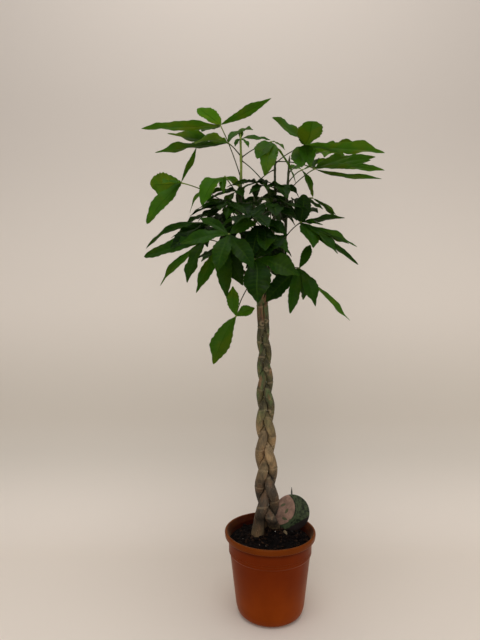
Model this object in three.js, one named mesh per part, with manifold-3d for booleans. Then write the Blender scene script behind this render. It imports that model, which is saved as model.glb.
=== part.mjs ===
// A potted money tree: three braided trunks in a tapered nursery pot, with a crown of
// hand-shaped leaves on long stalks, and a round care label on a stick in the soil.
// Millimetres, +Z up. The origin is the middle of the pot's foot; the front faces -Y.

import * as THREE from 'three';
import Module from 'manifold-3d';
import { mergeVertices } from 'three/addons/utils/BufferGeometryUtils.js';

const wasm = await Module();
wasm.setup();

// ---------------------------------------------------------------- driving dimensions

const SEAT_GAP = 0.3; // clearance between pieces that touch

const POT = {
  sides: 36,
  rimRadius: 135,
  rimTop: 238,
  rimDepth: 17,
  collarRadius: 122.5,
  collarBottom: 176,
  collarStep: 3.5,
  heelRadius: 101,
  heelHeight: 24,
  footRadius: 86,
  footWidth: 9,
  footRecess: 4,
  floorHeight: 7,
  wall: 2.4,
  drainCount: 8,
  drainRadius: 7,
  drainCircle: 58,
  drainSides: 8,
};

const SOIL = {
  level: 207,
  mound: 20,
  moundCentre: [6, 36],
  moundWidth: 55,
  relief: 2.2,
  border: 12, // width of the level ring by the wall
  topRings: 4,
};

const BRAID = {
  firstBulge: 766, // height of the uppermost bulge on the right
  bulgeStep: 77.65, // the bulges lie at firstBulge - step * n - growth * n * n
  bulgeGrowth: 2.35,
  start: -0.5, // the strands cross from here to here, counted in bulges
  end: 5.5,
  ringStep: 0.2,
  swing: [10.2, 21.5], // half the braid's side to side travel, at the start and the end
  depth: [8, 15.5], // half its front to back travel
  radius: [9.6, 17],
  sides: 8,
  pressGap: 0.8, // clearance between strands pressed flat against each other
  flatness: 7, // how sharply the flats turn into the round sides
};

// Middle line of the braid, from the top: height, x.
const TRUNK_LINE = [
  [940, -27],
  [770, -17],
  [620, -14],
  [470, -12],
  [350, -10],
  [200, -8],
];

// Heights where the strands part, meet the soil and end, and where they are cut across.
const LEGS = { splay: 285, soil: 214, end: 125, levels: [125, 150, 185, 214, 232, 250] };
const CROWN = { fork: 898, levels: [850, 898, 918] }; // where the arms leave the strands

const ARM = { root: 5, radius: 8, neck: 10, steps: 4, sides: 7 }; // a strand's woody arms

// Each strand: its turn in the braid, where it meets the soil, and where it ends.
const STRANDS = [
  { name: 'trunk_strand_left', turn: 240, atSoil: [-36, 14], atEnd: [-46, 8] },
  { name: 'trunk_strand_right', turn: 0, atSoil: [16, 48], atEnd: [22, 56] },
  { name: 'trunk_strand_back', turn: 120, atSoil: [-20, 58], atEnd: [-26, 72] },
];

const LABEL = { radius: 54, thickness: 1.2, centre: [69.7, 40, 272], lean: 5, sides: 40 };
const STICK = { width: 5, thickness: 2, top: 347, point: 14, bottom: 120 };

const LEAFLET = {
  ribThickness: 2,
  fold: 0.2, // height of the raised margins over half the width
  wave: 0.17, // height of their waves over half the width
  stations: [0.06, 0.28, 0.52, 0.74, 0.9], // along the rib
  outline: [0.12, 0.68, 1, 0.86, 0.36], // half width there, of a drawn-out leaflet
  oval: [0.38, 0.87, 1, 0.84, 0.55], // and of an oval one
};

const STALK = { root: 2.8, neck: 1.9, knob: 3.6, bend: 0.12, sides: 4, steps: 4 };
const STEM_SIDES = 7;

const COLOURS = {
  pot: 0xa8401f,
  soil: 0x2b211c,
  bark: 0x7d6e57,
  leaf: 0x2c6b1c,
  label: 0xc9a79a,
  stick: 0x2a2a28,
};

// -------------------------------------------------------------------- leafy stems

// Each stem stands on the end of a strand's woody arm. Its line runs from there to its
// growing tip; its radius is given at both ends.
const STEMS = {
  left: {
    strand: 'trunk_strand_left',
    radius: [6.5, 3],
    line: [[-50, -4, 992], [-78, -4, 1080], [-88, 0, 1200], [-86, 0, 1320], [-88, 0, 1400]],
  },
  lower_left: {
    strand: 'trunk_strand_left',
    radius: [5.5, 2.8],
    line: [[-52, 18, 982], [-98, 22, 1030], [-130, 12, 1090], [-142, 4, 1140]],
  },
  middle: {
    strand: 'trunk_strand_back',
    radius: [6.2, 3],
    line: [[-8, 14, 975], [6, 12, 1080], [14, 6, 1200], [15, 2, 1338]],
  },
  back: {
    strand: 'trunk_strand_back',
    radius: [6, 3],
    line: [[-32, 50, 970], [-38, 84, 1060], [-42, 98, 1160], [-44, 104, 1275]],
  },
  right: {
    strand: 'trunk_strand_right',
    radius: [6.2, 3],
    line: [[18, -12, 972], [42, -8, 1090], [50, -2, 1220], [57, 0, 1332]],
  },
  front: {
    strand: 'trunk_strand_right',
    radius: [5.5, 2.8],
    line: [[-20, -40, 975], [-10, -66, 1050], [0, -78, 1130]],
  },
};

// A leaf: the stem it grows from and the height where it leaves it, the hub where its
// leaflets meet, and the way its upper side looks. Each leaflet: the place of its tip,
// its width, how far its rib arches towards the upper side, the degrees that it is rolled
// about its rib, and how oval it is, from 0 for a drawn-out tip to 1 for a round one.
const leaf = (stem, from, hub, face, leaflets) => ({ stem, from, hub, face, leaflets });

// A leaf whose leaflets spread evenly round a heading (degrees from +X towards +Y): its
// rise at the middle leaflet, the leaflets' count, their reach and their width.
function fan(stem, from, hub, heading, rise, count, reach, width) {
  const spread = 250 / count;
  const leaflets = [];
  for (let i = 0; i < count; i += 1) {
    const side = i - (count - 1) / 2;
    const turn = THREE.MathUtils.degToRad(heading + side * spread);
    const share = 1 - 0.09 * Math.abs(side);
    const length = reach * share;
    const lift = rise * share - 0.1 * length * Math.abs(side);
    leaflets.push([
      hub[0] + length * Math.cos(turn),
      hub[1] + length * Math.sin(turn),
      hub[2] + lift,
      width * share,
      0.08 * reach,
    ]);
  }
  const lean = THREE.MathUtils.degToRad(heading);
  const face = [0.3 * Math.cos(lean), 0.3 * Math.sin(lean), 1];
  return leaf(stem, from, hub, face, leaflets);
}

const LEAVES = [
  // the tall stem on the left
  leaf('left', 1285, [-148, -20, 1436], [-0.1, 0.15, 1], [
    [-372, -60, 1409, 48, -3],
    [-285, 80, 1462, 42, -8],
    [-215, 150, 1482, 46, 2],
    [-3, -110, 1473, 27, -8, -30],
    [-201, -130, 1437, 44, 4, 0, 0.8],
  ]),
  leaf('left', 1350, [-125, -10, 1386], [-0.1, 0.1, 1], [
    [-347, 20, 1368, 48, 3],
    [-313, 40, 1433, 46, 4],
    [-49, 60, 1452, 44, 14, 20, 0.3],
    [-221, -120, 1346, 56, 6],
  ]),
  leaf('left', 1392, [-88, 0, 1402], [0, -0.5, 1], [
    [-86, 6, 1430, 14, 2],
    [3, 20, 1406, 24, 4, 20],
    [-64, -22, 1368, 14, 6],
    [-104, -14, 1374, 14, 6],
  ]),
  leaf('left', 1345, [0, -40, 1378], [0, -0.8, 0.6], [
    [-42, -100, 1309, 42, 8, 0, 0.6],
    [-21, -110, 1258, 44, 14, 0, 0.4],
    [72, -40, 1258, 34, 8, -55],
    [55, 110, 1407, 18, 8],
  ]),
  leaf('left', 1180, [-258, -60, 1254], [-0.3, -0.8, 0.3], [
    [-214, -60, 1357, 16, 2, 70],
    [-354, -20, 1262, 62, 4, -40, 0.25],
    [-300, -130, 1232, 36, 4],
    [-350, -90, 1130, 47, 10, 0, 0.7],
  ]),
  leaf('left', 1215, [-132, -60, 1271], [-0.4, -0.4, 0.8], [
    [-194, -110, 1176, 60, 20, -15],
    [-235, -40, 1172, 28, 20],
    [-133, -125, 1205, 20, 10],
    [-88, 50, 1268, 22, 8],
  ]),
  leaf('left', 1160, [-101, -40, 1196], [-0.1, -0.3, 1], [
    [-210, -60, 1142, 38, 16],
    [-177, 60, 1216, 34, 12],
    [-66, -120, 1140, 42, 14],
    [-126, -125, 1136, 38, 12],
    [-20, 10, 1190, 36, 12],
  ]),
  leaf('left', 1050, [-118, -190, 1084], [-0.1, -0.85, 0.5], [
    [-244, -200, 1057, 36, 10],
    [-146, -255, 978, 42, 12],
    [-55, -245, 986, 42, 12],
    [-45, -170, 1120, 38, 8],
    [-200, -120, 1140, 26, 8],
  ]),

  // the low stem on the left
  leaf('lower_left', 1105, [-186, -30, 1146], [-0.4, -0.3, 0.9], [
    [-364, -30, 1070, 34, 22, -24],
    [-282, -110, 1060, 46, 6, -50],
    [-280, 70, 1120, 40, 10],
  ]),
  leaf('lower_left', 1070, [-182, -120, 1081], [-0.4, -0.7, 0.5], [
    [-231, -150, 961, 40, 10],
    [-313, -90, 957, 28, 10],
    [-364, -60, 1043, 46, 6, 0, 0.8],
    [-240, -20, 1000, 40, 10],
  ]),
  leaf('lower_left', 1040, [-130, -50, 1084], [-0.2, -0.8, 0.5], [
    [-215, -60, 939, 36, 10],
    [-126, -90, 924, 40, 10],
    [-81, -60, 960, 44, 10],
    [-120, 60, 1030, 40, 10],
  ]),
  leaf('lower_left', 985, [-101, -60, 873], [-0.2, -0.9, 0.3], [
    [-110, -60, 959, 34, 6],
    [-47, -60, 896, 30, 6],
    [-166, -60, 735, 52, 8],
  ]),

  // the stem in front
  leaf('front', 1035, [-50, -170, 1022], [0, -0.8, 0.6], [
    [65, -200, 975, 56, 10],
    [-45, -240, 904, 64, 12],
    [31, -150, 1089, 46, 10],
  ]),
  leaf('front', 1120, [-30, -130, 1120], [0, -0.7, 0.7], [
    [-58, -190, 1022, 46, 14],
    [-11, -175, 1030, 44, 14],
    [36, -150, 1086, 40, 12],
  ]),
  leaf('front', 1000, [76, -90, 1007], [0.2, -0.8, 0.6], [
    [48, -110, 879, 30, 8, 0, 0.5],
    [112, -150, 898, 38, 10],
    [93, -40, 920, 38, 10],
    [218, -90, 860, 44, -4, -28, 0],
    [-15, -60, 913, 50, 14],
    [114, -50, 1078, 25, 6, 0, 0.2],
  ]),
  fan('front', 1115, [-5, -95, 1182], -85, -50, 5, 92, 42),

  // the tall stem on the right
  leaf('right', 1105, [84, -60, 1141], [0.4, -0.6, 0.7], [
    [92, -70, 1219, 41, 3, -34, 1],
    [215, -40, 1158, 30, 2, -62],
    [238, -90, 1066, 42, 0],
    [233, -125, 1012, 44, 4],
    [172, -150, 1038, 40, 8],
    [103, -165, 1052, 50, 6],
    [213, -105, 1072, 24, 0],
    [146, -70, 1132, 26, 2, -40],
  ]),
  leaf('right', 1241, [137, 20, 1319], [0.1, 0.4, 0.9], [
    [285, -60, 1319, 40, 4],
    [361, 60, 1327, 36, 11],
    [366, 110, 1315, 22, -3],
    [231, 190, 1385, 36, 6],
  ]),
  leaf('right', 1270, [103, 60, 1328], [0.3, 0.4, 0.8], [
    [134, 40, 1239, 26, 8],
    [256, 150, 1389, 44, 8],
    [78, 190, 1376, 28, 6],
  ]),
  leaf('right', 1190, [148, 150, 1264], [0.3, 0.1, 0.9], [
    [236, 190, 1204, 22, 6],
    [246, 250, 1230, 18, 6],
    [96, 250, 1226, 30, 10],
  ]),
  fan('right', 1300, [200, 150, 1418], 55, 24, 4, 118, 38),

  // the middle stem
  leaf('middle', 1328, [104, -5, 1382], [0, 0.25, 1], [
    [105, -150, 1393, 64, 2, 0, 1],
    [-2, -120, 1415, 58, 6, -72, 0.3],
    [355, 40, 1374, 54, 1],
    [104, -115, 1281, 42, 12],
    [81, -105, 1284, 58, 4, 0, 0.6],
    [243, 95, 1385, 46, 8],
  ]),
  leaf('middle', 1335, [128, -25, 1306], [0, 0.4, 0.9], [
    [290, -90, 1318, 40, 4],
    [210, -150, 1300, 40, 4],
    [150, 90, 1370, 32, 8],
  ]),
  leaf('middle', 1150, [74, -42, 1163], [-0.3, -0.2, 1], [
    [-25, -30, 1221, 36, 18],
    [-45, 0, 1205, 34, 16],
    [150, 40, 1190, 36, 14],
  ]),
  leaf('middle', 1215, [20, -50, 1245], [0, -0.4, 1], [
    [-63, -60, 1246, 34, 12],
    [78, -60, 1212, 34, 14],
    [40, -130, 1190, 38, 14],
  ]),

  // the stem at the back
  fan('back', 1200, [-110, 150, 1250], 130, -20, 5, 125, 46),
  fan('back', 1180, [20, 150, 1225], 75, -20, 5, 115, 46),
  fan('back', 1130, [-60, 150, 1125], 100, -30, 5, 112, 46),
  fan('back', 1100, [20, 150, 1110], 150, -30, 4, 100, 46),
  fan('back', 1050, [-130, 130, 1085], 140, -25, 5, 120, 44),
  fan('back', 1020, [10, 145, 1045], 70, -40, 5, 118, 46),

  // the crowded middle of the crown
  fan('left', 1190, [-98, 0, 1246], 178, -22, 6, 112, 32),
  fan('left', 1120, [-122, -60, 1190], 196, -26, 6, 118, 34),
  fan('right', 1170, [70, 20, 1226], 10, -26, 5, 96, 32),
  fan('front', 1090, [-62, -140, 1142], -112, -42, 5, 105, 44),
  fan('front', 1060, [-18, -130, 1092], -95, -54, 5, 84, 42),
  fan('lower_left', 1125, [-188, -50, 1128], 190, -34, 5, 100, 38),
  fan('lower_left', 1080, [-112, -20, 1132], -140, -54, 5, 110, 44),
  fan('back', 1150, [-150, 80, 1192], 170, -24, 5, 116, 44),
  fan('back', 1230, [-20, 110, 1256], 60, -14, 5, 105, 40),
];

// ------------------------------------------------------------------ shared tools

const vector = (point) => new THREE.Vector3(point[0], point[1], point[2]);
const UP = new THREE.Vector3(0, 0, 1);

function solidOf(geometry) {
  const bare = geometry.clone();
  bare.deleteAttribute('normal');
  bare.deleteAttribute('uv');
  const merged = mergeVertices(bare, 1e-4);
  return new wasm.Manifold(
    new wasm.Mesh({
      numProp: 3,
      vertProperties: merged.attributes.position.array,
      triVerts: new Uint32Array(merged.index.array),
    }),
  );
}

function geometryOf(solid) {
  const mesh = solid.getMesh();
  const geometry = new THREE.BufferGeometry();
  geometry.setAttribute('position', new THREE.BufferAttribute(mesh.vertProperties, 3));
  geometry.setIndex(new THREE.BufferAttribute(mesh.triVerts, 1));
  return geometry;
}

const fuse = (solids) => solids.reduce((whole, next) => whole.add(next));

// The main body of a solid, without slivers left by a join or a cut.
const largest = (solid) => solid.decompose().reduce((a, b) => (b.volume() > a.volume() ? b : a));

function part(name, geometry, colour, roughness) {
  const flat = geometry.index ? geometry.toNonIndexed() : geometry;
  flat.computeVertexNormals();
  const material = new THREE.MeshStandardMaterial({ color: colour, roughness, metalness: 0 });
  const mesh = new THREE.Mesh(flat, material);
  mesh.name = name;
  return mesh;
}

// A closed skin over rings of points, each ring seen anticlockwise from its far end. A
// given start or end point closes that side in a tip, otherwise it is a flat cap. With
// mirrored set, the quads of each ring are split alike on both sides of a blade.
function loft(rings, { start, end, mirrored = false } = {}) {
  const sides = rings[0].length;
  const points = rings.flat();
  const faces = [];
  for (let ring = 0; ring + 1 < rings.length; ring += 1) {
    for (let side = 0; side < sides; side += 1) {
      const a = ring * sides + side;
      const b = ring * sides + ((side + 1) % sides);
      const c = b + sides;
      const d = a + sides;
      if (mirrored && side % 2 === 1) {
        faces.push([a, b, d], [b, c, d]);
      } else {
        faces.push([a, b, c], [a, c, d]);
      }
    }
  }
  const close = (first, tip, flip) => {
    const hub = tip ? points.push(tip) - 1 : first;
    for (let side = tip ? 0 : 1; side < (tip ? sides : sides - 1); side += 1) {
      const a = first + side;
      const b = first + ((side + 1) % sides);
      faces.push(flip ? [hub, b, a] : [hub, a, b]);
    }
  };
  close(0, start, true);
  close((rings.length - 1) * sides, end, false);
  const positions = points.flatMap((point) => [point.x, point.y, point.z]);
  const geometry = new THREE.BufferGeometry();
  geometry.setAttribute('position', new THREE.Float32BufferAttribute(positions, 3));
  geometry.setIndex(faces.flat());
  return geometry;
}

// A round bar along a line of points, with a radius at each.
function bar(points, radii, sides) {
  const rings = points.map((point, i) => {
    const before = points[Math.max(i - 1, 0)];
    const after = points[Math.min(i + 1, points.length - 1)];
    const along = after.clone().sub(before).normalize();
    const lead = Math.abs(along.z) > 0.7 ? new THREE.Vector3(1, 0, 0) : UP;
    const across = lead.clone().cross(along).normalize();
    const over = along.clone().cross(across);
    return Array.from({ length: sides }, (_, side) => {
      const turn = (2 * Math.PI * side) / sides;
      return point
        .clone()
        .addScaledVector(across, radii[i] * Math.cos(turn))
        .addScaledVector(over, radii[i] * Math.sin(turn));
    });
  });
  return loft(rings);
}

const mix = (pair, share) => pair[0] + (pair[1] - pair[0]) * share;
const smooth = (x, from, to) => THREE.MathUtils.smoothstep(x, from, to);

// Reads a table of [key, value] rows, sorted by falling key, between its rows.
function readTable(rows, key) {
  const next = rows.findIndex((row) => row[0] <= key);
  if (next === 0) return rows[0][1];
  if (next < 0) return rows[rows.length - 1][1];
  const [high, low] = [rows[next - 1], rows[next]];
  return low[1] + ((high[1] - low[1]) * (key - low[0])) / (high[0] - low[0]);
}

// --------------------------------------------------------------------------- pot

const POT_INSIDE = [
  [POT.heelRadius - POT.wall - 9, POT.floorHeight],
  [POT.heelRadius - POT.wall, POT.heelHeight],
  [POT.collarRadius - POT.collarStep - POT.wall - 2, POT.collarBottom],
  [POT.collarRadius - POT.wall, POT.collarBottom + 4],
  [POT.collarRadius - POT.wall + 1, POT.rimTop - POT.rimDepth],
];

function pot() {
  const inner = POT_INSIDE.map(([r, z]) => new THREE.Vector2(r, z));
  const foot = POT.footRadius - POT.footWidth;
  const outer = [
    new THREE.Vector2(foot - 3, POT.footRecess),
    new THREE.Vector2(foot, 0),
    new THREE.Vector2(POT.footRadius, 0),
    new THREE.Vector2(POT.heelRadius - 5, 8),
    new THREE.Vector2(POT.heelRadius, POT.heelHeight),
    new THREE.Vector2(POT.collarRadius - POT.collarStep, POT.collarBottom - 2),
    new THREE.Vector2(POT.collarRadius, POT.collarBottom + 2),
    new THREE.Vector2(POT.collarRadius + 1, POT.rimTop - POT.rimDepth),
    new THREE.Vector2(POT.rimRadius - 1.5, POT.rimTop - POT.rimDepth + 1),
    new THREE.Vector2(POT.rimRadius, POT.rimTop - 3),
    new THREE.Vector2(POT.rimRadius - 2.5, POT.rimTop),
    new THREE.Vector2(POT.rimRadius - 8, POT.rimTop - 1),
  ];
  const profile = [
    new THREE.Vector2(0, POT.footRecess),
    ...outer,
    ...inner.reverse(),
    new THREE.Vector2(0, POT.floorHeight),
  ];
  let shell = solidOf(standing(new THREE.LatheGeometry(profile, POT.sides)));
  for (let i = 0; i < POT.drainCount; i += 1) {
    const turn = (2 * Math.PI * (i + 0.5)) / POT.drainCount;
    const hole = new THREE.CylinderGeometry(
      POT.drainRadius,
      POT.drainRadius,
      POT.floorHeight * 2,
      POT.drainSides,
    );
    hole.rotateX(Math.PI / 2);
    const [x, y] = [POT.drainCircle * Math.cos(turn), POT.drainCircle * Math.sin(turn)];
    shell = shell.subtract(solidOf(hole.translate(x, y, POT.floorHeight / 2)));
  }
  return part('pot', geometryOf(shell), COLOURS.pot, 0.45);
}

// three.js turns a profile round +Y; the pot stands along +Z.
const standing = (geometry) => geometry.rotateX(Math.PI / 2);

// -------------------------------------------------------------------------- soil

function soilHeight(x, y) {
  const away = Math.hypot(x - SOIL.moundCentre[0], y - SOIL.moundCentre[1]);
  const mound = SOIL.mound * Math.exp(-((away / SOIL.moundWidth) ** 2));
  const relief = Math.sin(x * 0.13 + 1.7) * Math.cos(y * 0.11) + Math.sin((x + y) * 0.07);
  return SOIL.level + mound + (SOIL.relief * relief) / 2;
}

function soil(strandHoles, stickHole) {
  const wall = POT_INSIDE.map(([r, z]) => [r - SEAT_GAP, z + SEAT_GAP]);
  const [shoulder, brim] = wall.slice(-2);
  const edge = mix([shoulder[0], brim[0]], (SOIL.level - shoulder[1]) / (brim[1] - shoulder[1]));
  const profile = [new THREE.Vector2(0, wall[0][1])];
  wall.slice(0, -1).forEach(([r, z]) => profile.push(new THREE.Vector2(r, z)));
  for (let ring = SOIL.topRings; ring >= 0; ring -= 1) {
    profile.push(new THREE.Vector2((edge * ring) / SOIL.topRings, SOIL.level));
  }
  const geometry = standing(new THREE.LatheGeometry(profile, POT.sides));
  const place = geometry.attributes.position;
  for (let i = 0; i < place.count; i += 1) {
    if (place.getZ(i) > SOIL.level - 1) {
      const [x, y] = [place.getX(i), place.getY(i)];
      const inside = 1 - smooth(Math.hypot(x, y), edge - SOIL.border, edge - 1);
      place.setZ(i, SOIL.level + (soilHeight(x, y) - SOIL.level) * inside);
    }
  }
  let body = solidOf(geometry);
  strandHoles.forEach((hole) => {
    body = body.subtract(hole);
  });
  return part('soil', geometryOf(body.subtract(stickHole)), COLOURS.soil, 1);
}

// ------------------------------------------------------------------ braided trunk

const bulgeHeight = (n) => BRAID.firstBulge - BRAID.bulgeStep * n - BRAID.bulgeGrowth * n * n;

// The middle of each strand and its radius at bulge count n, or straight above and
// spreading below the braid.
function strandMiddles(n, z) {
  const turn = Math.min(Math.max(n, BRAID.start), BRAID.end);
  const down = (turn - BRAID.start) / (BRAID.end - BRAID.start);
  const spread = 1 - smooth(z, LEGS.soil, LEGS.splay);
  const below = 1 - smooth(z, LEGS.end, LEGS.soil);
  const line = readTable(TRUNK_LINE, z);
  return STRANDS.map((strand) => {
    const angle = THREE.MathUtils.degToRad(90 + 120 * turn + strand.turn);
    const x = line + mix(BRAID.swing, down) * Math.sin(angle);
    const y = -mix(BRAID.depth, down) * Math.sin(2 * angle);
    const legX = mix([strand.atSoil[0], strand.atEnd[0]], below);
    const legY = mix([strand.atSoil[1], strand.atEnd[1]], below);
    return {
      x: mix([x, legX], spread),
      y: mix([y, legY], spread),
      radius: mix(BRAID.radius, down),
    };
  });
}

// One level of a strand: round, but flat where a neighbour presses on it.
function strandRing(own, others, z, grow) {
  return Array.from({ length: BRAID.sides }, (_, side) => {
    const angle = (2 * Math.PI * side) / BRAID.sides;
    let sum = own.radius ** -BRAID.flatness;
    others.forEach((other) => {
      const [dx, dy] = [other.x - own.x, other.y - own.y];
      const facing = Math.cos(angle - Math.atan2(dy, dx));
      if (facing > 0.05) {
        const flat = (Math.hypot(dx, dy) / 2 - BRAID.pressGap / 2) / facing;
        sum += flat ** -BRAID.flatness;
      }
    });
    const reach = sum ** (-1 / BRAID.flatness) + grow;
    const x = own.x + reach * Math.cos(angle);
    return new THREE.Vector3(x, own.y + reach * Math.sin(angle), z);
  });
}

// The levels of a strand, from its end in the soil up to the crown.
function strandLevels() {
  const levels = [...LEGS.levels];
  const steps = Math.round((BRAID.end - BRAID.start) / BRAID.ringStep);
  for (let step = steps; step >= 0; step -= 1) {
    levels.push(bulgeHeight(BRAID.start + step * BRAID.ringStep));
  }
  levels.push(...CROWN.levels);
  return levels;
}

function bulgeAt(z) {
  const { bulgeStep, bulgeGrowth, firstBulge } = BRAID;
  const root = bulgeStep ** 2 + 4 * bulgeGrowth * (firstBulge - z);
  return (Math.sqrt(root) - bulgeStep) / (2 * bulgeGrowth);
}

function strandBody(index, levels, grow) {
  const rings = levels.map((z) => {
    const middles = strandMiddles(bulgeAt(z), z);
    const others = middles.filter((_, i) => i !== index);
    return strandRing(middles[index], others, z, grow);
  });
  return solidOf(loft(rings));
}

// The woody arm that leads from a strand to the foot of a green stem.
function arm(index, stem, grow) {
  const middle = strandMiddles(BRAID.start, CROWN.fork)[index];
  const fork = new THREE.Vector3(middle.x, middle.y, CROWN.fork);
  const foot = vector(stem.line[0]);
  const away = vector(stem.line[1]).sub(foot).normalize();
  const neck = foot.clone().addScaledVector(away, -ARM.neck);
  const rise = new THREE.Vector3(fork.x, fork.y, (fork.z * 2 + neck.z) / 3);
  const curve = new THREE.QuadraticBezierCurve3(fork, rise, neck);
  const points = curve.getPoints(ARM.steps);
  points.push(foot.clone().addScaledVector(away, -SEAT_GAP));
  const ends = [ARM.radius + grow, stem.radius[0] + 1 + grow];
  const radii = points.map((_, i) => mix(ends, i / (ARM.steps + 1)));
  radii[0] = ARM.root;
  return solidOf(bar(points, radii, ARM.sides));
}

// A whole strand with its arms; a strand that others press on is grown and cut from them.
function strandSolid(index, grow) {
  const arms = Object.values(STEMS)
    .filter((stem) => stem.strand === STRANDS[index].name)
    .map((stem) => arm(index, stem, grow));
  return fuse([strandBody(index, strandLevels(), grow), ...arms]);
}

function strand(index) {
  let body = strandSolid(index, 0);
  for (let other = 0; other < index; other += 1) {
    body = body.subtract(strandSolid(other, SEAT_GAP));
  }
  return part(STRANDS[index].name, geometryOf(largest(body)), COLOURS.bark, 0.85);
}

// The hole in the soil that a strand stands in.
function strandHole(index) {
  const levels = [LEGS.end - SEAT_GAP, ...LEGS.levels.slice(1)];
  return strandBody(index, levels, SEAT_GAP);
}

// ------------------------------------------------------------------- leafy stems

// A leaflet: a blade with a raised rib and margins that rise in waves, from the hub to
// its tip. The width of each cross-section follows LEAFLET.outline and LEAFLET.oval.
function leaflet(hub, face, row, wavePhase) {
  const [tipX, tipY, tipZ, width, arch, roll = 0, oval = 0] = row;
  const chord = new THREE.Vector3(tipX, tipY, tipZ).sub(hub);
  const length = chord.length();
  const along = chord.clone().normalize();
  const over = face.clone().addScaledVector(along, -face.dot(along)).normalize();
  over.applyAxisAngle(along, THREE.MathUtils.degToRad(roll));
  const side = along.clone().cross(over);
  const rings = LEAFLET.stations.map((t, i) => {
    const rise = arch * 4 * t * (1 - t);
    const slope = (arch * 4 * (1 - 2 * t)) / length;
    const middle = hub.clone().addScaledVector(chord, t).addScaledVector(over, rise);
    const normal = over.clone().addScaledVector(along, -slope).normalize();
    const half = (width / 2) * mix([LEAFLET.outline[i], LEAFLET.oval[i]], oval);
    const edge = (sign) => {
      const wave = i === 0 ? 0 : LEAFLET.wave * Math.sin(wavePhase + 2.4 * i + sign);
      return middle
        .clone()
        .addScaledVector(side, sign * half)
        .addScaledVector(normal, half * (LEAFLET.fold + wave));
    };
    const rib = (LEAFLET.ribThickness / 2) * (i + 1 < LEAFLET.stations.length ? 1 : 0.6);
    return [
      edge(-1),
      middle.clone().addScaledVector(normal, rib),
      edge(1),
      middle.clone().addScaledVector(normal, -rib),
    ];
  });
  const tip = new THREE.Vector3(tipX, tipY, tipZ);
  return solidOf(loft(rings, { start: hub, end: tip, mirrored: true }));
}

// The point of a stem's line at a height.
function stemPoint(stem, z) {
  const next = stem.line.findIndex((point) => point[2] > z);
  const high = vector(stem.line[next < 0 ? stem.line.length - 1 : next]);
  const low = vector(stem.line[next < 0 ? stem.line.length - 2 : next - 1]);
  return low.lerp(high, (z - low.z) / (high.z - low.z));
}

function stalk(from, hub) {
  const away = hub.clone().sub(from);
  const bend = from.clone().addScaledVector(away, 0.5);
  bend.z += STALK.bend * away.length();
  const curve = new THREE.QuadraticBezierCurve3(from, bend, hub);
  const points = curve.getPoints(STALK.steps);
  points.push(hub.clone().addScaledVector(hub.clone().sub(bend).normalize(), STALK.knob));
  const radii = points.map((_, i) => (i === 0 ? STALK.root : STALK.neck));
  radii[STALK.steps] = STALK.knob;
  radii[STALK.steps + 1] = STALK.knob * 0.6;
  return solidOf(bar(points, radii, STALK.sides));
}

function stemBody(stem) {
  const points = stem.line.map(vector);
  const radii = points.map((_, i) => mix(stem.radius, i / (points.length - 1)));
  return solidOf(bar(points, radii, STEM_SIDES));
}

function leafyStem(name) {
  const stem = STEMS[name];
  const solids = [stemBody(stem)];
  LEAVES.forEach((row, number) => {
    if (row.stem !== name) return;
    const hub = vector(row.hub);
    const face = vector(row.face).normalize();
    solids.push(stalk(stemPoint(stem, row.from), hub));
    row.leaflets.forEach((blade, i) => {
      solids.push(leaflet(hub, face, blade, number * 1.9 + i * 2.3));
    });
  });
  return part(`leafy_stem_${name}`, geometryOf(largest(fuse(solids))), COLOURS.leaf, 0.5);
}

// ------------------------------------------------------------------------- label

function label() {
  const disc = new THREE.CylinderGeometry(
    LABEL.radius,
    LABEL.radius,
    LABEL.thickness,
    LABEL.sides,
  );
  const mesh = part('care_label', disc, COLOURS.label, 0.5);
  mesh.rotation.x = THREE.MathUtils.degToRad(-LABEL.lean);
  mesh.position.fromArray(LABEL.centre);
  return mesh;
}

function stickShape(grow) {
  const half = STICK.width / 2 + grow;
  const shape = new THREE.Shape();
  shape.moveTo(-half, STICK.bottom - grow);
  shape.lineTo(half, STICK.bottom - grow);
  shape.lineTo(half, STICK.top - STICK.point);
  shape.lineTo(0.6, STICK.top);
  shape.lineTo(-0.6, STICK.top);
  shape.lineTo(-half, STICK.top - STICK.point);
  shape.closePath();
  const depth = STICK.thickness + 2 * grow;
  const geometry = new THREE.ExtrudeGeometry(shape, { depth, bevelEnabled: false });
  geometry.translate(0, -LABEL.centre[2], -depth / 2);
  geometry.rotateX(Math.PI / 2);
  geometry.rotateX(THREE.MathUtils.degToRad(-LABEL.lean));
  const back = (LABEL.thickness + STICK.thickness) / 2 + SEAT_GAP;
  geometry.translate(LABEL.centre[0], LABEL.centre[1] + back, LABEL.centre[2]);
  return geometry;
}

// ---------------------------------------------------------------------- assembly

const tree = new THREE.Group();
tree.add(pot());
tree.add(soil(STRANDS.map((_, index) => strandHole(index)), solidOf(stickShape(SEAT_GAP))));
STRANDS.forEach((_, index) => tree.add(strand(index)));
Object.keys(STEMS).forEach((name) => tree.add(leafyStem(name)));
tree.add(label());
tree.add(part('label_stick', stickShape(0), COLOURS.stick, 0.5));

export default tree;
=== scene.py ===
"""The looks of a potted money tree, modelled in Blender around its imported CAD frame.

Everything is made in metres in the frame's own axes: +Z is up, the front faces -Y and
the origin is the middle of the pot's foot. The tables of sizes are in millimetres.
"""

import logging
import math
import random
from collections.abc import Callable, Iterator, Sequence
from contextlib import contextmanager
from dataclasses import dataclass
from enum import Enum

import bmesh
import bpy
import numpy as np
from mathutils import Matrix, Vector, noise


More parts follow.
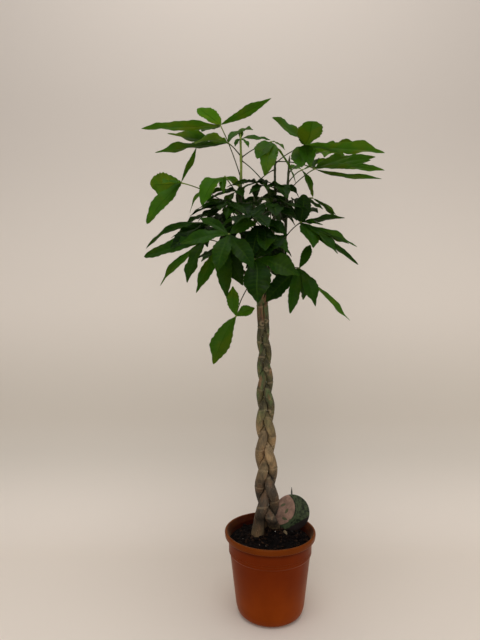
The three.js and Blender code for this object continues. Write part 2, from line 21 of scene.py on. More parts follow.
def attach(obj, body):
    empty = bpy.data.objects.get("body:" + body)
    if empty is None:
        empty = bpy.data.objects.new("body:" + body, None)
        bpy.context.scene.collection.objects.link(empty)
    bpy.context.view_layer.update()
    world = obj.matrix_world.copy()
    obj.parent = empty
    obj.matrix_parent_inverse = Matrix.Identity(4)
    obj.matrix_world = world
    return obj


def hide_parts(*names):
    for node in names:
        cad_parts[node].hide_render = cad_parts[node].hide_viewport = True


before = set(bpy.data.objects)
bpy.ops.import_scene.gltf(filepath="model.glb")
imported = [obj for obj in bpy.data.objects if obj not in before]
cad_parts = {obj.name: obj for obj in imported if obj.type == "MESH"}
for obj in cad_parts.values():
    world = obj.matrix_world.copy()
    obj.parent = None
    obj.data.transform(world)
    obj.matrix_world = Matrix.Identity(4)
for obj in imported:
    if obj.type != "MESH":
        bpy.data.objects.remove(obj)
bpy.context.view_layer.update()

MM = 0.001
LOG = logging.getLogger("money_tree")

Array = np.ndarray
Piece = bpy.types.Object
Material = bpy.types.Material
Colour = tuple[float, float, float]
Triple = tuple[float, float, float]
Pair = tuple[float, float]
Ramp = tuple[float, float, float, float]  # a mask's two edges, and its values there
Row = Sequence[float]
Rows = Sequence[Row]


class Slot(Enum):
    """The record's material slots."""

    POT = "pot"
    SOIL = "soil"
    BARK = "bark"
    LEAF = "leaf"
    LABEL = "label"
    STICK = "stick"


# ------------------------------------------------------------------ tables of sizes


FAN_SPREAD = 250  # degrees shared out among a fan's leaflets
FAN_TAPER = 0.09  # how much shorter each leaflet is than its inner neighbour
FAN_DROOP = 0.1  # how far each outer tip drops, over the leaflet's length
FAN_ARCH = 0.08  # how far the ribs arch, over the fan's reach
FAN_LEAN = 0.3  # how far the leaf faces its heading


@dataclass(frozen=True)
class Leaf:
    """One hand-shaped leaf: where it grows, its hub and its leaflets.

    Each leaflet is the place of its tip, its width, how far its rib arches towards the
    upper side, the degrees that it is rolled about its rib, how oval it is, from 0 for a
    drawn-out tip to 1 for a round one, and how much younger it looks than its leaf.
    """

    stem: str
    root: float
    hub: Row
    face: Row
    leaflets: Rows


def fan(stem: str, root: float, hub: Row, heading: float, rise: float,
        count: int, reach: float, width: float) -> Leaf:
    """Return a leaf whose leaflets spread evenly round a heading.

    Args:
        stem: The leafy stem that it grows from.
        root: Height where it leaves the stem.
        hub: Where its leaflets meet.
        heading: Direction of the middle leaflet, in degrees from +X towards +Y.
        rise: Height of the middle leaflet's tip over the hub.
        count: Number of leaflets.
        reach: Length of the middle leaflet, seen from above.
        width: Width of the middle leaflet.

    Returns:
        The leaf.
    """
    leaflets = []
    for i in range(count):
        side = i - (count - 1) / 2
        turn = math.radians(heading + side * FAN_SPREAD / count)
        share = 1 - FAN_TAPER * abs(side)
        length = reach * share
        leaflets.append([
            hub[0] + length * math.cos(turn),
            hub[1] + length * math.sin(turn),
            hub[2] + rise * share - FAN_DROOP * length * abs(side),
            width * share,
            FAN_ARCH * reach,
        ])
    lean = math.radians(heading)
    face = (FAN_LEAN * math.cos(lean), FAN_LEAN * math.sin(lean), 1)
    return Leaf(stem, root, hub, face, leaflets)


LEAVES: tuple[Leaf, ...] = (
    # the tall stem on the left
    Leaf("left", 1285, [-148, -20, 1436], [-0.1, 0.15, 1], [
        [-372, -60, 1409, 48, -3],
        [-285, 80, 1462, 42, -8],
        [-215, 150, 1482, 46, 2, 0, 0, -0.6],
        [-3, -110, 1473, 27, -8, -30, 0, -0.2],
        [-201, -130, 1437, 44, 4, 0, 0.8],
    ]),
    Leaf("left", 1350, [-125, -10, 1386], [-0.1, 0.1, 1], [
        [-347, 20, 1368, 48, 3],
        [-313, 40, 1433, 60, 0],
        [-49, 60, 1452, 44, 14, 20, 0.3],
        [-221, -120, 1346, 56, 6],
    ]),
    Leaf("left", 1392, [-88, 0, 1402], [0, -0.5, 1], [
        [-86, 6, 1430, 14, 2],
        [3, 20, 1406, 24, 4, 20],
        [-64, -22, 1368, 14, 6],
        [-104, -14, 1374, 14, 6],
    ]),
    Leaf("left", 1345, [0, -40, 1378], [0, -0.8, 0.6], [
        [-42, -100, 1309, 42, 8, 0, 0.6],
        [-21, -110, 1258, 44, 14, 0, 0.4],
        [72, -40, 1258, 34, 8, -55],
        [55, 110, 1407, 18, 8],
    ]),
    Leaf("left", 1180, [-258, -60, 1254], [-0.3, -0.8, 0.3], [
        [-214, -60, 1357, 16, 2, 70],
        [-354, -20, 1262, 62, 4, -40, 0.25],
        [-300, -130, 1232, 36, 4],
        [-350, -90, 1130, 47, 10, 0, 0.7],
    ]),
    Leaf("left", 1215, [-132, -60, 1271], [-0.4, -0.4, 0.8], [
        [-194, -110, 1176, 60, 20, -15],
        [-235, -40, 1172, 28, 20],
        [-133, -125, 1205, 20, 10],
        [-88, 50, 1268, 22, 8],
    ]),
    Leaf("left", 1160, [-101, -40, 1196], [-0.1, -0.3, 1], [
        [-210, -60, 1142, 38, 16],
        [-177, 60, 1216, 34, 12],
        [-66, -120, 1140, 42, 14],
        [-126, -125, 1136, 38, 12],
        [-20, 10, 1190, 36, 12],
    ]),
    Leaf("left", 1050, [-118, -190, 1084], [-0.1, -0.85, 0.5], [
        [-244, -200, 1057, 36, 10],
        [-146, -255, 978, 42, 12],
        [-55, -245, 986, 42, 12],
        [-45, -170, 1120, 38, 8],
        [-200, -120, 1140, 26, 8],
    ]),

    # the low stem on the left
    Leaf("lower_left", 1105, [-186, -30, 1146], [-0.4, -0.3, 0.9], [
        [-364, -30, 1070, 34, 22, -24],
        [-282, -110, 1060, 46, 6, -50],
        [-280, 70, 1120, 40, 10],
    ]),
    Leaf("lower_left", 1070, [-182, -120, 1081], [-0.4, -0.7, 0.5], [
        [-231, -150, 961, 40, 10],
        [-313, -90, 957, 28, 10],
        [-364, -60, 1043, 46, 6, 0, 0.8],
        [-240, -20, 1000, 40, 10],
    ]),
    Leaf("lower_left", 1040, [-130, -50, 1084], [-0.2, -0.8, 0.5], [
        [-215, -60, 939, 36, 10],
        [-126, -90, 924, 40, 10],
        [-81, -60, 960, 44, 10],
        [-120, 60, 1030, 40, 10],
    ]),
    Leaf("lower_left", 985, [-101, -60, 873], [-0.2, -0.9, 0.3], [
        [-110, -60, 959, 34, 6],
        [-47, -60, 896, 30, 6],
        [-166, -60, 735, 52, 8],
    ]),

    # the stem in front
    Leaf("front", 1035, [-50, -170, 1022], [0, -0.8, 0.6], [
        [65, -200, 975, 56, 10],
        [-45, -240, 904, 64, 12],
        [31, -150, 1089, 46, 10],
    ]),
    Leaf("front", 1120, [-30, -130, 1120], [0, -0.7, 0.7], [
        [-58, -190, 1022, 46, 14],
        [-11, -175, 1030, 44, 14],
        [36, -150, 1086, 40, 12],
    ]),
    Leaf("front", 1000, [76, -90, 1007], [0.2, -0.8, 0.6], [
        [48, -110, 879, 30, 8, 0, 0.5],
        [112, -150, 898, 38, 10],
        [93, -40, 920, 38, 10],
        [218, -90, 860, 44, -4, -28, 0, 0.5],
        [-15, -60, 913, 50, 14],
        [114, -50, 1078, 25, 6, 0, 0.2],
    ]),
    fan("front", 1115, [-5, -95, 1182], -85, -50, 5, 92, 42),

    # the tall stem on the right
    Leaf("right", 1105, [84, -60, 1141], [0.4, -0.6, 0.7], [
        [92, -70, 1219, 41, 3, -34, 1],
        [215, -40, 1158, 30, 2, -62],
        [238, -90, 1066, 42, 0],
        [233, -125, 1012, 44, 4],
        [172, -150, 1038, 40, 8],
        [103, -165, 1052, 50, 6],
        [213, -105, 1072, 24, 0],
        [146, -70, 1132, 26, 2, -40],
    ]),
    Leaf("right", 1241, [137, 20, 1319], [0.1, 0.4, 0.9], [
        [285, -60, 1319, 40, 4],
        [361, 60, 1327, 36, 11],
        [366, 110, 1315, 22, -3],
        [231, 190, 1385, 36, 6],
    ]),
    Leaf("right", 1270, [103, 60, 1328], [0.3, 0.4, 0.8], [
        [134, 40, 1239, 26, 8],
        [256, 150, 1389, 44, 8],
        [78, 190, 1376, 28, 6],
    ]),
    Leaf("right", 1190, [148, 150, 1264], [0.3, 0.1, 0.9], [
        [236, 190, 1204, 22, 6],
        [246, 250, 1230, 18, 6],
        [96, 250, 1226, 30, 10],
    ]),
    fan("right", 1300, [200, 150, 1418], 55, 24, 4, 118, 38),

    # the middle stem
    Leaf("middle", 1328, [104, -5, 1382], [0, 0.25, 1], [
        [105, -150, 1393, 64, 2, 0, 1],
        [-2, -120, 1415, 58, 6, -72, 0.3],
        [355, 40, 1374, 54, 1],
        [104, -115, 1281, 42, 12],
        [81, -105, 1284, 58, 4, 0, 0.6],
        [243, 95, 1385, 46, 8],
    ]),
    Leaf("middle", 1335, [128, -25, 1306], [0, 0.4, 0.9], [
        [290, -90, 1318, 40, 4],
        [210, -150, 1300, 40, 4],
        [150, 90, 1370, 32, 8],
    ]),
    Leaf("middle", 1150, [74, -42, 1163], [-0.3, -0.2, 1], [
        [-25, -30, 1221, 36, 18],
        [-45, 0, 1205, 34, 16],
        [150, 40, 1190, 36, 14],
    ]),
    Leaf("middle", 1215, [20, -50, 1245], [0, -0.4, 1], [
        [-63, -60, 1246, 34, 12],
        [78, -60, 1212, 34, 14],
        [40, -130, 1190, 38, 14],
    ]),

    # the stem at the back
    fan("back", 1200, [-110, 150, 1250], 130, -20, 5, 125, 46),
    fan("back", 1180, [20, 150, 1225], 75, -20, 5, 115, 46),
    fan("back", 1130, [-60, 150, 1125], 100, -30, 5, 112, 46),
    fan("back", 1100, [20, 150, 1110], 150, -30, 4, 100, 46),
    fan("back", 1050, [-130, 130, 1085], 140, -25, 5, 120, 44),
    fan("back", 1020, [10, 145, 1045], 70, -40, 5, 118, 46),

    # the crowded middle of the crown
    fan("left", 1190, [-98, 0, 1246], 178, -22, 6, 112, 32),
    fan("left", 1338, [-12, -30, 1254], -30, -26, 6, 96, 32),
    fan("middle", 1312, [-40, -24, 1264], 190, -18, 5, 90, 30),
    fan("left", 1120, [-122, -60, 1190], 196, -26, 6, 118, 34),
    fan("middle", 1130, [8, -70, 1188], -42, -26, 6, 112, 34),
    fan("right", 1170, [70, 20, 1226], 10, -26, 5, 96, 32),
    fan("front", 1090, [-62, -140, 1142], -112, -42, 5, 105, 44),
    fan("front", 1060, [-18, -130, 1092], -95, -54, 5, 84, 42),
    fan("lower_left", 1125, [-188, -50, 1128], 190, -34, 5, 100, 38),
    fan("lower_left", 1080, [-112, -20, 1132], -140, -54, 5, 110, 44),
    fan("back", 1150, [-150, 80, 1192], 170, -24, 5, 116, 44),
    fan("back", 1230, [-20, 110, 1256], 60, -14, 5, 105, 40),
    fan("middle", 1050, [0, -20, 1072], -112, -60, 5, 84, 42),
)

# How young each leaf looks, in the order of LEAVES: 0 dark and grown, 1 fresh and light.
# Low numbers on the leaves inside the crown also paint shade there, through the darkening of
# old leaflets.
LEAF_YOUTH = (
    0.85, 0.7, 0.5, 1.0, 0.85, 1.0, 0.3, 0.3,
    0.25, 0.35, 0.3, 1.0,
    0.25, 0.2, 0.25, 0.15,
    0.35, 0.75, 0.7, 0.35, 0.7,
    0.7, 0.65, 0.2, 0.15,
    0.15, 0.1, 0.1, 0.1, 0.1, 0.1,
    0.3, 0.35, 0.2, 0.15, 0.2, 0.25, 0.2, 0.25, 0.15, 0.15, 0.2, 0.15, 0.1,
)


# -------------------------------------------------------------------- small helpers


def linear(red: int, green: int, blue: int) -> Colour:
    """Return a display colour of 0 to 255 as Blender's linear numbers."""
    return tuple(((c / 255 + 0.055) / 1.055) ** 2.4 if c > 10 else c / 3294.6
                 for c in (red, green, blue))


def mix(a: float, b: float, share: float) -> float:
    """Return the number that lies a share of the way from a to b."""
    return a + (b - a) * share


def smooth(x: float, low: float, high: float) -> float:
    """Return a soft step from 0 at low to 1 at high."""
    t = min(max((x - low) / (high - low), 0.0), 1.0)
    return t * t * (3 - 2 * t)


def unit(v: Array) -> Array:
    """Return vectors scaled to length 1 along their last axis."""
    return v / np.linalg.norm(v, axis=-1, keepdims=True)


def through(points: Rows, count: int) -> Array:
    """Return a smooth line through given points.

    Args:
        points: The points that the line passes through.
        count: How many points it gets between each two of them.

    Returns:
        The line's points, one row each.
    """
    given = np.array(points, float)
    ends = np.vstack([2 * given[0] - given[1], given, 2 * given[-1] - given[-2]])
    made = []
    for i in range(1, len(ends) - 2):
        a, b, c, d = ends[i - 1:i + 3]
        for t in np.linspace(0, 1, count, endpoint=False):
            made.append(0.5 * (2 * b + (c - a) * t + (2 * a - 5 * b + 4 * c - d) * t ** 2
                               + (3 * b - a - 3 * c + d) * t ** 3))
    return np.array([*made, given[-1]])


def bent(start: Array, middle: Array, end: Array, count: int) -> Array:
    """Return count points of the curve from start to end that middle pulls aside."""
    t = np.linspace(0, 1, count)[:, None]
    return start * (1 - t) ** 2 + middle * 2 * t * (1 - t) + end * t ** 2


# ---------------------------------------------------------------- the modelling bench


class Bench:
    """Selection, edit mode, primitives and modifiers, worked as by hand."""

    @staticmethod
    def clear() -> None:
        """Deselect every object."""
        bpy.ops.object.select_all(action="DESELECT")

    @classmethod
    def take(cls, piece: Piece) -> Piece:
        """Make a piece the active and only selected object."""
        cls.clear()
        piece.select_set(True)
        bpy.context.view_layer.objects.active = piece
        return piece

    @classmethod
    @contextmanager
    def editing(cls, piece: Piece) -> Iterator[bmesh.types.BMesh]:
        """Open a piece in edit mode with nothing selected, and leave it after."""
        cls.take(piece)
        bpy.ops.object.mode_set(mode="EDIT")
        bpy.ops.mesh.select_mode(type="VERT")
        bpy.ops.mesh.select_all(action="DESELECT")
        yield bmesh.from_edit_mesh(piece.data)
        bpy.ops.object.mode_set(mode="OBJECT")

    @staticmethod
    def pick(piece: Piece, test: Callable[[Vector], bool]) -> None:
        """In edit mode, select just the vertices whose place passes a test."""
        cage = bmesh.from_edit_mesh(piece.data)
        for face in cage.faces:
            face.select = False
        for edge in cage.edges:
            edge.select = False
        for vertex in cage.verts:
            vertex.select = test(vertex.co)
        cage.select_flush_mode()
        bmesh.update_edit_mesh(piece.data)

    @classmethod
    def close(cls, piece: Piece, gap: float = 1e-6) -> None:
        """Merge doubled vertices and turn every face outwards."""
        with cls.editing(piece):
            bpy.ops.mesh.select_all(action="SELECT")
            bpy.ops.mesh.remove_doubles(threshold=gap)
            bpy.ops.mesh.normals_make_consistent(inside=False)

    @classmethod
    def modify(cls, piece: Piece, kind: str, **settings: object) -> None:
        """Add one modifier with its settings and apply it."""
        cls.take(piece)
        modifier = piece.modifiers.new(kind.title(), kind)
        for key, value in settings.items():
            setattr(modifier, key, value)
        bpy.ops.object.modifier_apply(modifier=modifier.name)

    @classmethod
    def join(cls, pieces: Sequence[Piece]) -> Piece:
        """Join pieces into the first one and return it."""
        cls.clear()
        for piece in pieces:
            piece.select_set(True)
        bpy.context.view_layer.objects.active = pieces[0]
        if len(pieces) > 1:
            bpy.ops.object.join()
        return pieces[0]

    @staticmethod
    def places(piece: Piece) -> Array:
        """Return the places of a piece's vertices, one row each."""
        flat = np.empty(len(piece.data.vertices) * 3)
        piece.data.vertices.foreach_get("co", flat)
        return flat.reshape(-1, 3)

    @staticmethod
    def move(piece: Piece, places: Array) -> None:
        """Put a piece's vertices at new places."""
        piece.data.vertices.foreach_set("co", np.asarray(places, float).ravel())
        piece.data.update()

    @classmethod
    def copy(cls, piece: Piece, places: Array) -> Piece:
        """Copy a piece with its mesh, and put the copy's vertices at new places."""
        made = piece.copy()
        made.data = piece.data.copy()
        bpy.context.scene.collection.objects.link(made)
        cls.move(made, places)
        return made

    @staticmethod
    def mark(piece: Piece, name: str, values: Array | float) -> None:
        """Give each vertex of a piece a number under an attribute's name."""
        layer = piece.data.attributes.get(name)
        if layer is None:
            layer = piece.data.attributes.new(name, "FLOAT", "POINT")
        count = len(piece.data.vertices)
        layer.data.foreach_set("value", np.broadcast_to(np.float32(values), count).copy())

    @classmethod
    def grid(cls, across: int, up: int) -> tuple[Piece, Array, Array]:
        """Add a flat grid to be shaped into a skin.

        Args:
            across: Number of faces along X.
            up: Number of faces along Y.

        Returns:
            The grid, and each vertex's share of the way along X and along Y.
        """
        cls.clear()
        bpy.ops.mesh.primitive_grid_add(x_subdivisions=across, y_subdivisions=up, size=1)
        piece = bpy.context.object
        share = cls.places(piece) + 0.5
        return piece, share[:, 0], share[:, 1]

    @classmethod
    def tube(cls, points: Array, radii: Row, resolution: int = 2) -> Piece:
        """Model a round bar along a line, as a bevelled curve made a mesh.

        Args:
            points: The line's points, in millimetres.
            radii: The bar's radius at each of them.
            resolution: How finely the bar is rounded.

        Returns:
            The closed bar.
        """
        line = bpy.data.curves.new("bar", "CURVE")
        line.dimensions = "3D"
        line.bevel_depth = MM
        line.bevel_resolution = resolution
        line.use_fill_caps = True
        spline = line.splines.new("POLY")
        spline.points.add(len(points) - 1)
        for knot, place, radius in zip(spline.points, points, radii):
            knot.co = (*(place * MM), 1)
            knot.radius = radius
        piece = bpy.data.objects.new("bar", line)
        bpy.context.scene.collection.objects.link(piece)
        cls.take(piece)
        bpy.ops.object.convert(target="MESH")
        return bpy.context.object

    @classmethod
    def spun(cls, outline: Sequence[Pair], steps: int) -> Piece:
        """Extrude an outline point by point and spin it round the Z axis.

        Args:
            outline: Rows of (radius, height) in millimetres, from the axis to the axis.
            steps: Number of segments of the full turn.

        Returns:
            The closed body of revolution.
        """
        cls.clear()
        bpy.ops.mesh.primitive_plane_add(size=MM)
        piece = bpy.context.object
        with cls.editing(piece):
            bpy.ops.mesh.select_all(action="SELECT")
            bpy.ops.mesh.merge(type="CENTER")
            first = outline[0]
            bpy.ops.transform.translate(value=(first[0] * MM, 0, first[1] * MM))
            for before, after in zip(outline, outline[1:]):
                step = ((after[0] - before[0]) * MM, 0, (after[1] - before[1]) * MM)
                bpy.ops.mesh.extrude_region_move(TRANSFORM_OT_translate={"value": step})
            bpy.ops.mesh.select_all(action="SELECT")
            bpy.ops.mesh.spin(steps=steps, angle=2 * math.pi, center=(0, 0, 0),
                              axis=(0, 0, 1))
        cls.close(piece)
        return piece

    @classmethod
    def hang(cls, piece: Piece, name: str, nodes: Sequence[str], slot: Slot,
             materials: Sequence[Material], sharp: float = 35) -> None:
        """Finish a piece: its name, shading and materials, and its place in the frame.

        Args:
            piece: The modelled piece, with its place in its mesh.
            name: Its plain name.
            nodes: The CAD nodes that it stands for.
            slot: The record's slot that its finish belongs to; not used.
            materials: Its materials, in the order of the mesh's material numbers.
            sharp: Edges over this many degrees stay sharp.
        """
        cls.take(piece)
        bpy.ops.object.shade_smooth_by_angle(angle=math.radians(sharp))
        piece.name = piece.data.name = name
        piece.data.materials.clear()
        for material in materials:
            piece.data.materials.append(material)
        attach(piece, "root")
        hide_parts(*nodes)
        LOG.info("%s: %d faces", name, len(piece.data.polygons))


# --------------------------------------------------------------------- node wiring


Socket = bpy.types.NodeSocket
Value = float | Row | Socket


class Board:
    """A node tree and the shorthand for wiring it."""

    def __init__(self, tree: bpy.types.NodeTree) -> None:
        """Start on a tree, with any nodes in it cleared away."""
        self.tree = tree
        tree.nodes.clear()

    def feed(self, node: bpy.types.Node, inputs: dict[str | int, Value]) -> None:
        """Set a node's inputs, by name or number, to values or to other nodes' sockets."""
        for key, value in inputs.items():
            socket = node.inputs[key]
            if isinstance(value, Socket):
                self.tree.links.new(value, socket)
            elif socket.type == "RGBA":
                socket.default_value = (*value, 1)
            else:
                socket.default_value = value

    def add(self, kind: str, inputs: dict[str | int, Value] | None = None,
            **settings: object) -> bpy.types.Node:
        """Add a node.

        Args:
            kind: Its type name without the leading ShaderNode.
            inputs: Values or sockets for its inputs, by name or number.
            **settings: Its own properties.

        Returns:
            The node.
        """
        made = self.tree.nodes.new("ShaderNode" + kind)
        for key, value in settings.items():
            setattr(made, key, value)
        self.feed(made, inputs or {})
        return made

    def group(self, tree: bpy.types.NodeTree, **values: Value) -> bpy.types.Node:
        """Place a shared effect, with values for its inputs."""
        return self.add("Group", values, node_tree=tree)

    def sum(self, operation: str, *values: Value) -> Socket:
        """Return the output of a Math node on up to three values."""
        return self.add("Math", dict(enumerate(values)), operation=operation).outputs[0]

    def times(self, a: Value, b: Value) -> Socket:
        """Return the product of two numbers."""
        return self.sum("MULTIPLY", a, b)

    def span(self, value: Value, low: float, high: float, to_low: float = 0,
             to_high: float = 1) -> Socket:
        """Return value moved smoothly from the range low..high to to_low..to_high."""
        return self.add("MapRange", {0: value, 1: low, 2: high, 3: to_low, 4: to_high},
                        interpolation_type="SMOOTHSTEP").outputs[0]

    def blend(self, factor: Value, a: Value, b: Value, how: str = "MIX") -> Socket:
        """Return colour a mixed with colour b."""
        return self.add("Mix", {0: factor, 6: a, 7: b}, data_type="RGBA",
                        blend_type=how).outputs[2]

    def tint(self, a: Value, b: Value) -> Socket:
        """Return colour a multiplied by colour b."""
        return self.blend(1.0, a, b, "MULTIPLY")

    def noise(self, vector: Value, scale: Value, detail: float = 3,
              roughness: float = 0.5) -> Socket:
        """Return the value of a noise texture."""
        return self.add("TexNoise", {"Vector": vector, "Scale": scale, "Detail": detail,
                                     "Roughness": roughness}).outputs[0]

    def split(self, vector: Value) -> Sequence[Socket]:
        """Return a vector's three numbers."""
        return self.add("SeparateXYZ", {0: vector}).outputs

    def place(self, scale: Row = (1, 1, 1)) -> Socket:
        """Return Object coordinates, stretched by a Mapping node."""
        where = self.add("TexCoord").outputs["Object"]
        return self.add("Mapping", {"Vector": where, "Scale": scale}).outputs[0]

    def height(self) -> Socket:
        """Return the height over the floor, in metres."""
        return self.split(self.place())[2]

    def attribute(self, name: str) -> Socket:
        """Return a vertex attribute's number."""
        return self.add("Attribute", attribute_name=name).outputs["Fac"]

    def bump(self, height: Value, strength: float, distance: float) -> Socket:
        """Return the normal of a relief whose depth is a distance in millimetres."""
        return self.add("Bump", {"Height": height, "Strength": strength,
                                 "Distance": distance * MM}).outputs[0]

    def show(self, shader: bpy.types.Node) -> None:
        """Join a shader to the material's output."""
        self.add("OutputMaterial", {"Surface": shader.outputs[0]})


class Effects:
    """Effects that several finishes share, each a shader node group built once."""

    cloud_edges = (0.32, 0.68)  # noise values between which a mottle's colours change
    rib_edges = (0.015, 0.075)  # the rib's soft edge, over half the leaf's width
    vein_edge = 0.11  # a side vein's width, over the distance between two
    vein_bow = 1.25  # how much side veins curve towards the tip
    vein_fade = (0.55, 1.0, 1, 0.15)  # they are whole here, and faded there
    quilt_height = 0.6  # of the skin between two side veins
    rib_depth = 0.8  # of the groove along the rib
    fine_share = 0.6  # of fine fibres, the rest being broad ones
    broad_scale = 0.23  # of the broad fibres' pattern against the fine one's
    fibre_edges = (0.35, 0.65)  # noise values between fibre and gap
    dust_facing = (-0.2, 1.0)  # how far a face looks up where dust starts and is whole
    dust_edges = (0.35, 0.75)  # noise values between clean and dusty
    dust_scale = 45  # of its patches

    def __init__(self) -> None:
        """Build every group."""
        self.mottle = self._mottle()
        self.veins = self._veins()
        self.fibres = self._fibres()
        self.dust = self._dust()

    @staticmethod
    def _start(name: str, inputs: dict[str, str],
               outputs: dict[str, str]) -> tuple[Board, Sequence[Socket], bpy.types.Node]:
        """Make an empty group.

        Args:
            name: The group's name.
            inputs: Its inputs' names with their kinds: Float, Color or Vector.
            outputs: Its outputs' names with their kinds.

        Returns:
            The board of its tree, its inputs' sockets and its output node.
        """
        tree = bpy.data.node_groups.new(name, "ShaderNodeTree")
        board = Board(tree)
        for way, sockets in (("INPUT", inputs), ("OUTPUT", outputs)):
            for key, kind in sockets.items():
                tree.interface.new_socket(name=key, in_out=way,
                                          socket_type="NodeSocket" + kind)
        given = tree.nodes.new("NodeGroupInput").outputs
        return board, given, tree.nodes.new("NodeGroupOutput")

    def _mottle(self) -> bpy.types.NodeTree:
        """Build cloudy patches between two colours, with their mask."""
        board, given, made = self._start(
            "mottle", {"Vector": "Vector", "Scale": "Float", "Low": "Color",
                       "High": "Color"}, {"Color": "Color", "Mask": "Float"})
        cloud = board.noise(given["Vector"], given["Scale"], 5, 0.6)
        mask = board.span(cloud, *self.cloud_edges)
        board.feed(made, {"Color": board.blend(mask, given["Low"], given["High"]),
                          "Mask": mask})
        return board.tree

    def _veins(self) -> bpy.types.NodeTree:
        """Build a leaf's rib and side veins on its UV map, as masks and a height."""
        board, given, made = self._start(
            "leaf_veins", {"Pairs": "Float", "Slant": "Float"},
            {"Rib": "Float", "Side": "Float", "Across": "Float", "Height": "Float"})
        along, aside, _ = board.split(board.add("UVMap").outputs[0])
        across = board.sum("ABSOLUTE", board.sum("MULTIPLY_ADD", aside, 2, -1))
        rib = board.span(across, *self.rib_edges, 1, 0)
        lean = board.times(board.sum("POWER", across, self.vein_bow), given["Slant"])
        count = board.times(board.sum("SUBTRACT", along, lean), given["Pairs"])
        near = board.sum("PINGPONG", count, 0.5)
        side = board.times(board.span(near, 0, self.vein_edge, 1, 0),
                           board.span(across, *self.vein_fade))
        quilt = board.times(board.span(near, 0, 0.5), self.quilt_height)
        groove = board.times(rib, -self.rib_depth)
        board.feed(made, {"Rib": rib, "Side": side, "Across": across,
                          "Height": board.sum("ADD", quilt, groove)})
        return board.tree

    def _fibres(self) -> bpy.types.NodeTree:
        """Build long fibres, fine and broad, as a mask and a height."""
        board, given, made = self._start(
            "fibres", {"Vector": "Vector", "Fineness": "Float", "Stretch": "Float"},
            {"Mask": "Float", "Height": "Float"})
        x, y, z = board.split(given["Vector"])
        long = board.add("CombineXYZ", {0: x, 1: y, 2: board.sum(
            "DIVIDE", z, given["Stretch"])}).outputs[0]
        fine = board.noise(long, given["Fineness"], 6, 0.65)
        broad = board.noise(long, board.times(given["Fineness"], self.broad_scale), 2)
        both = board.sum("ADD", board.times(fine, self.fine_share),
                         board.times(broad, 1 - self.fine_share))
        board.feed(made, {"Mask": board.span(both, *self.fibre_edges), "Height": both})
        return board.tree

    def _dust(self) -> bpy.types.NodeTree:
        """Build dust that settles on faces that look up, in patches."""
        board, given, made = self._start(
            "dust", {"Base": "Color", "Dust": "Color", "Amount": "Float"},
            {"Color": "Color", "Mask": "Float"})
        facing = board.split(board.add("NewGeometry").outputs["Normal"])[2]
        patches = board.noise(board.place(), self.dust_scale, 4, 0.6)
        settled = board.times(board.span(facing, *self.dust_facing),
                              board.span(patches, *self.dust_edges))
        mask = board.times(settled, given["Amount"])
        board.feed(made, {"Color": board.blend(mask, given["Base"], given["Dust"]),
                          "Mask": mask})
        return board.tree


def material(name: str) -> tuple[Material, Board]:
    """Return a new material and the board of its node tree."""
    made = bpy.data.materials.new(name)
    made.use_nodes = True
    return made, Board(made.node_tree)


# ------------------------------------------------------------------------- finishes


@dataclass(frozen=True)
class LeafFinish:
    """The skin of a leaf's upper or lower side: its tones, veins and sheen."""

    name: str
    grown: Colour
    fresh: Colour
    vein: Colour
    gloss: float
    relief: float
    glow: float = 0.5
    passing_grown: Colour = (0.12, 0.24, 0.03)
    passing_fresh: Colour = (0.42, 0.6, 0.13)
    vein_pairs: float = 11
    vein_slant: float = 0.09
    patch_scale: float = 38
    patch_low: Colour = (0.64, 0.72, 0.66)
    patch_high: Colour = (1.2, 1.12, 1.1)
    drift_scale: float = 17
    drift_edges: Pair = (0.44, 0.66)
    cool: Colour = (0.88, 0.98, 0.95)
    warm: Colour = (1.22, 1.03, 0.88)
    side_vein_share: float = 0.4
    rib_share: float = 0.55
    margin: Ramp = (0.93, 1.0, 0, 0.35)
    cell_scale: float = 900
    cell_height: float = 0.12
    gloss_drift: float = 0.1

    def build(self, effects: Effects) -> Material:
        """Return the material, with light passing through the thin blade."""
        made, board = material(self.name)
        veins = board.group(effects.veins, Pairs=self.vein_pairs,
                            Slant=self.vein_slant).outputs
        patches = board.group(effects.mottle, Vector=board.place(), Scale=self.patch_scale,
                              Low=self.patch_low, High=self.patch_high).outputs
        age, tone = board.attribute("youth"), board.attribute("tone")
        drift = board.span(board.noise(board.place(), self.drift_scale, 2),
                           *self.drift_edges)
        warmth = board.blend(drift, self.cool, self.warm)
        # the tone holds random lightness, darkening with age, and painted shade inside the
        # crown and near its heart
        shade = board.add("CombineColor", {0: tone, 1: tone, 2: tone}).outputs[0]
        rib = board.times(veins["Rib"], self.rib_share)

        base = board.tint(board.blend(age, self.grown, self.fresh), warmth)
        base = board.tint(board.tint(base, patches["Color"]), shade)
        base = board.blend(board.times(veins["Side"], self.side_vein_share), base, self.vein)
        base = board.blend(rib, base, self.vein)
        base = board.blend(board.span(veins["Across"], *self.margin), base, self.vein)
        rough = board.sum("MULTIPLY_ADD", patches["Mask"], self.gloss_drift, self.gloss)
        cells = board.noise(board.place(), self.cell_scale, 2)
        height = board.sum("MULTIPLY_ADD", cells, self.cell_height, veins["Height"])
        normal = board.bump(height, 0.55, self.relief)
        skin = board.add("BsdfPrincipled", {
            "Base Color": base, "Roughness": rough, "Normal": normal, "IOR": 1.42,
            "Specular IOR Level": 0.13})

        light = board.tint(board.blend(age, self.passing_grown, self.passing_fresh), shade)
        light = board.blend(rib, board.tint(light, warmth), self.vein)
        passing = board.add("BsdfTranslucent", {"Color": light, "Normal": normal})
        board.show(board.add("MixShader", {0: self.glow, 1: skin.outputs[0],
                                           2: passing.outputs[0]}))
        return made


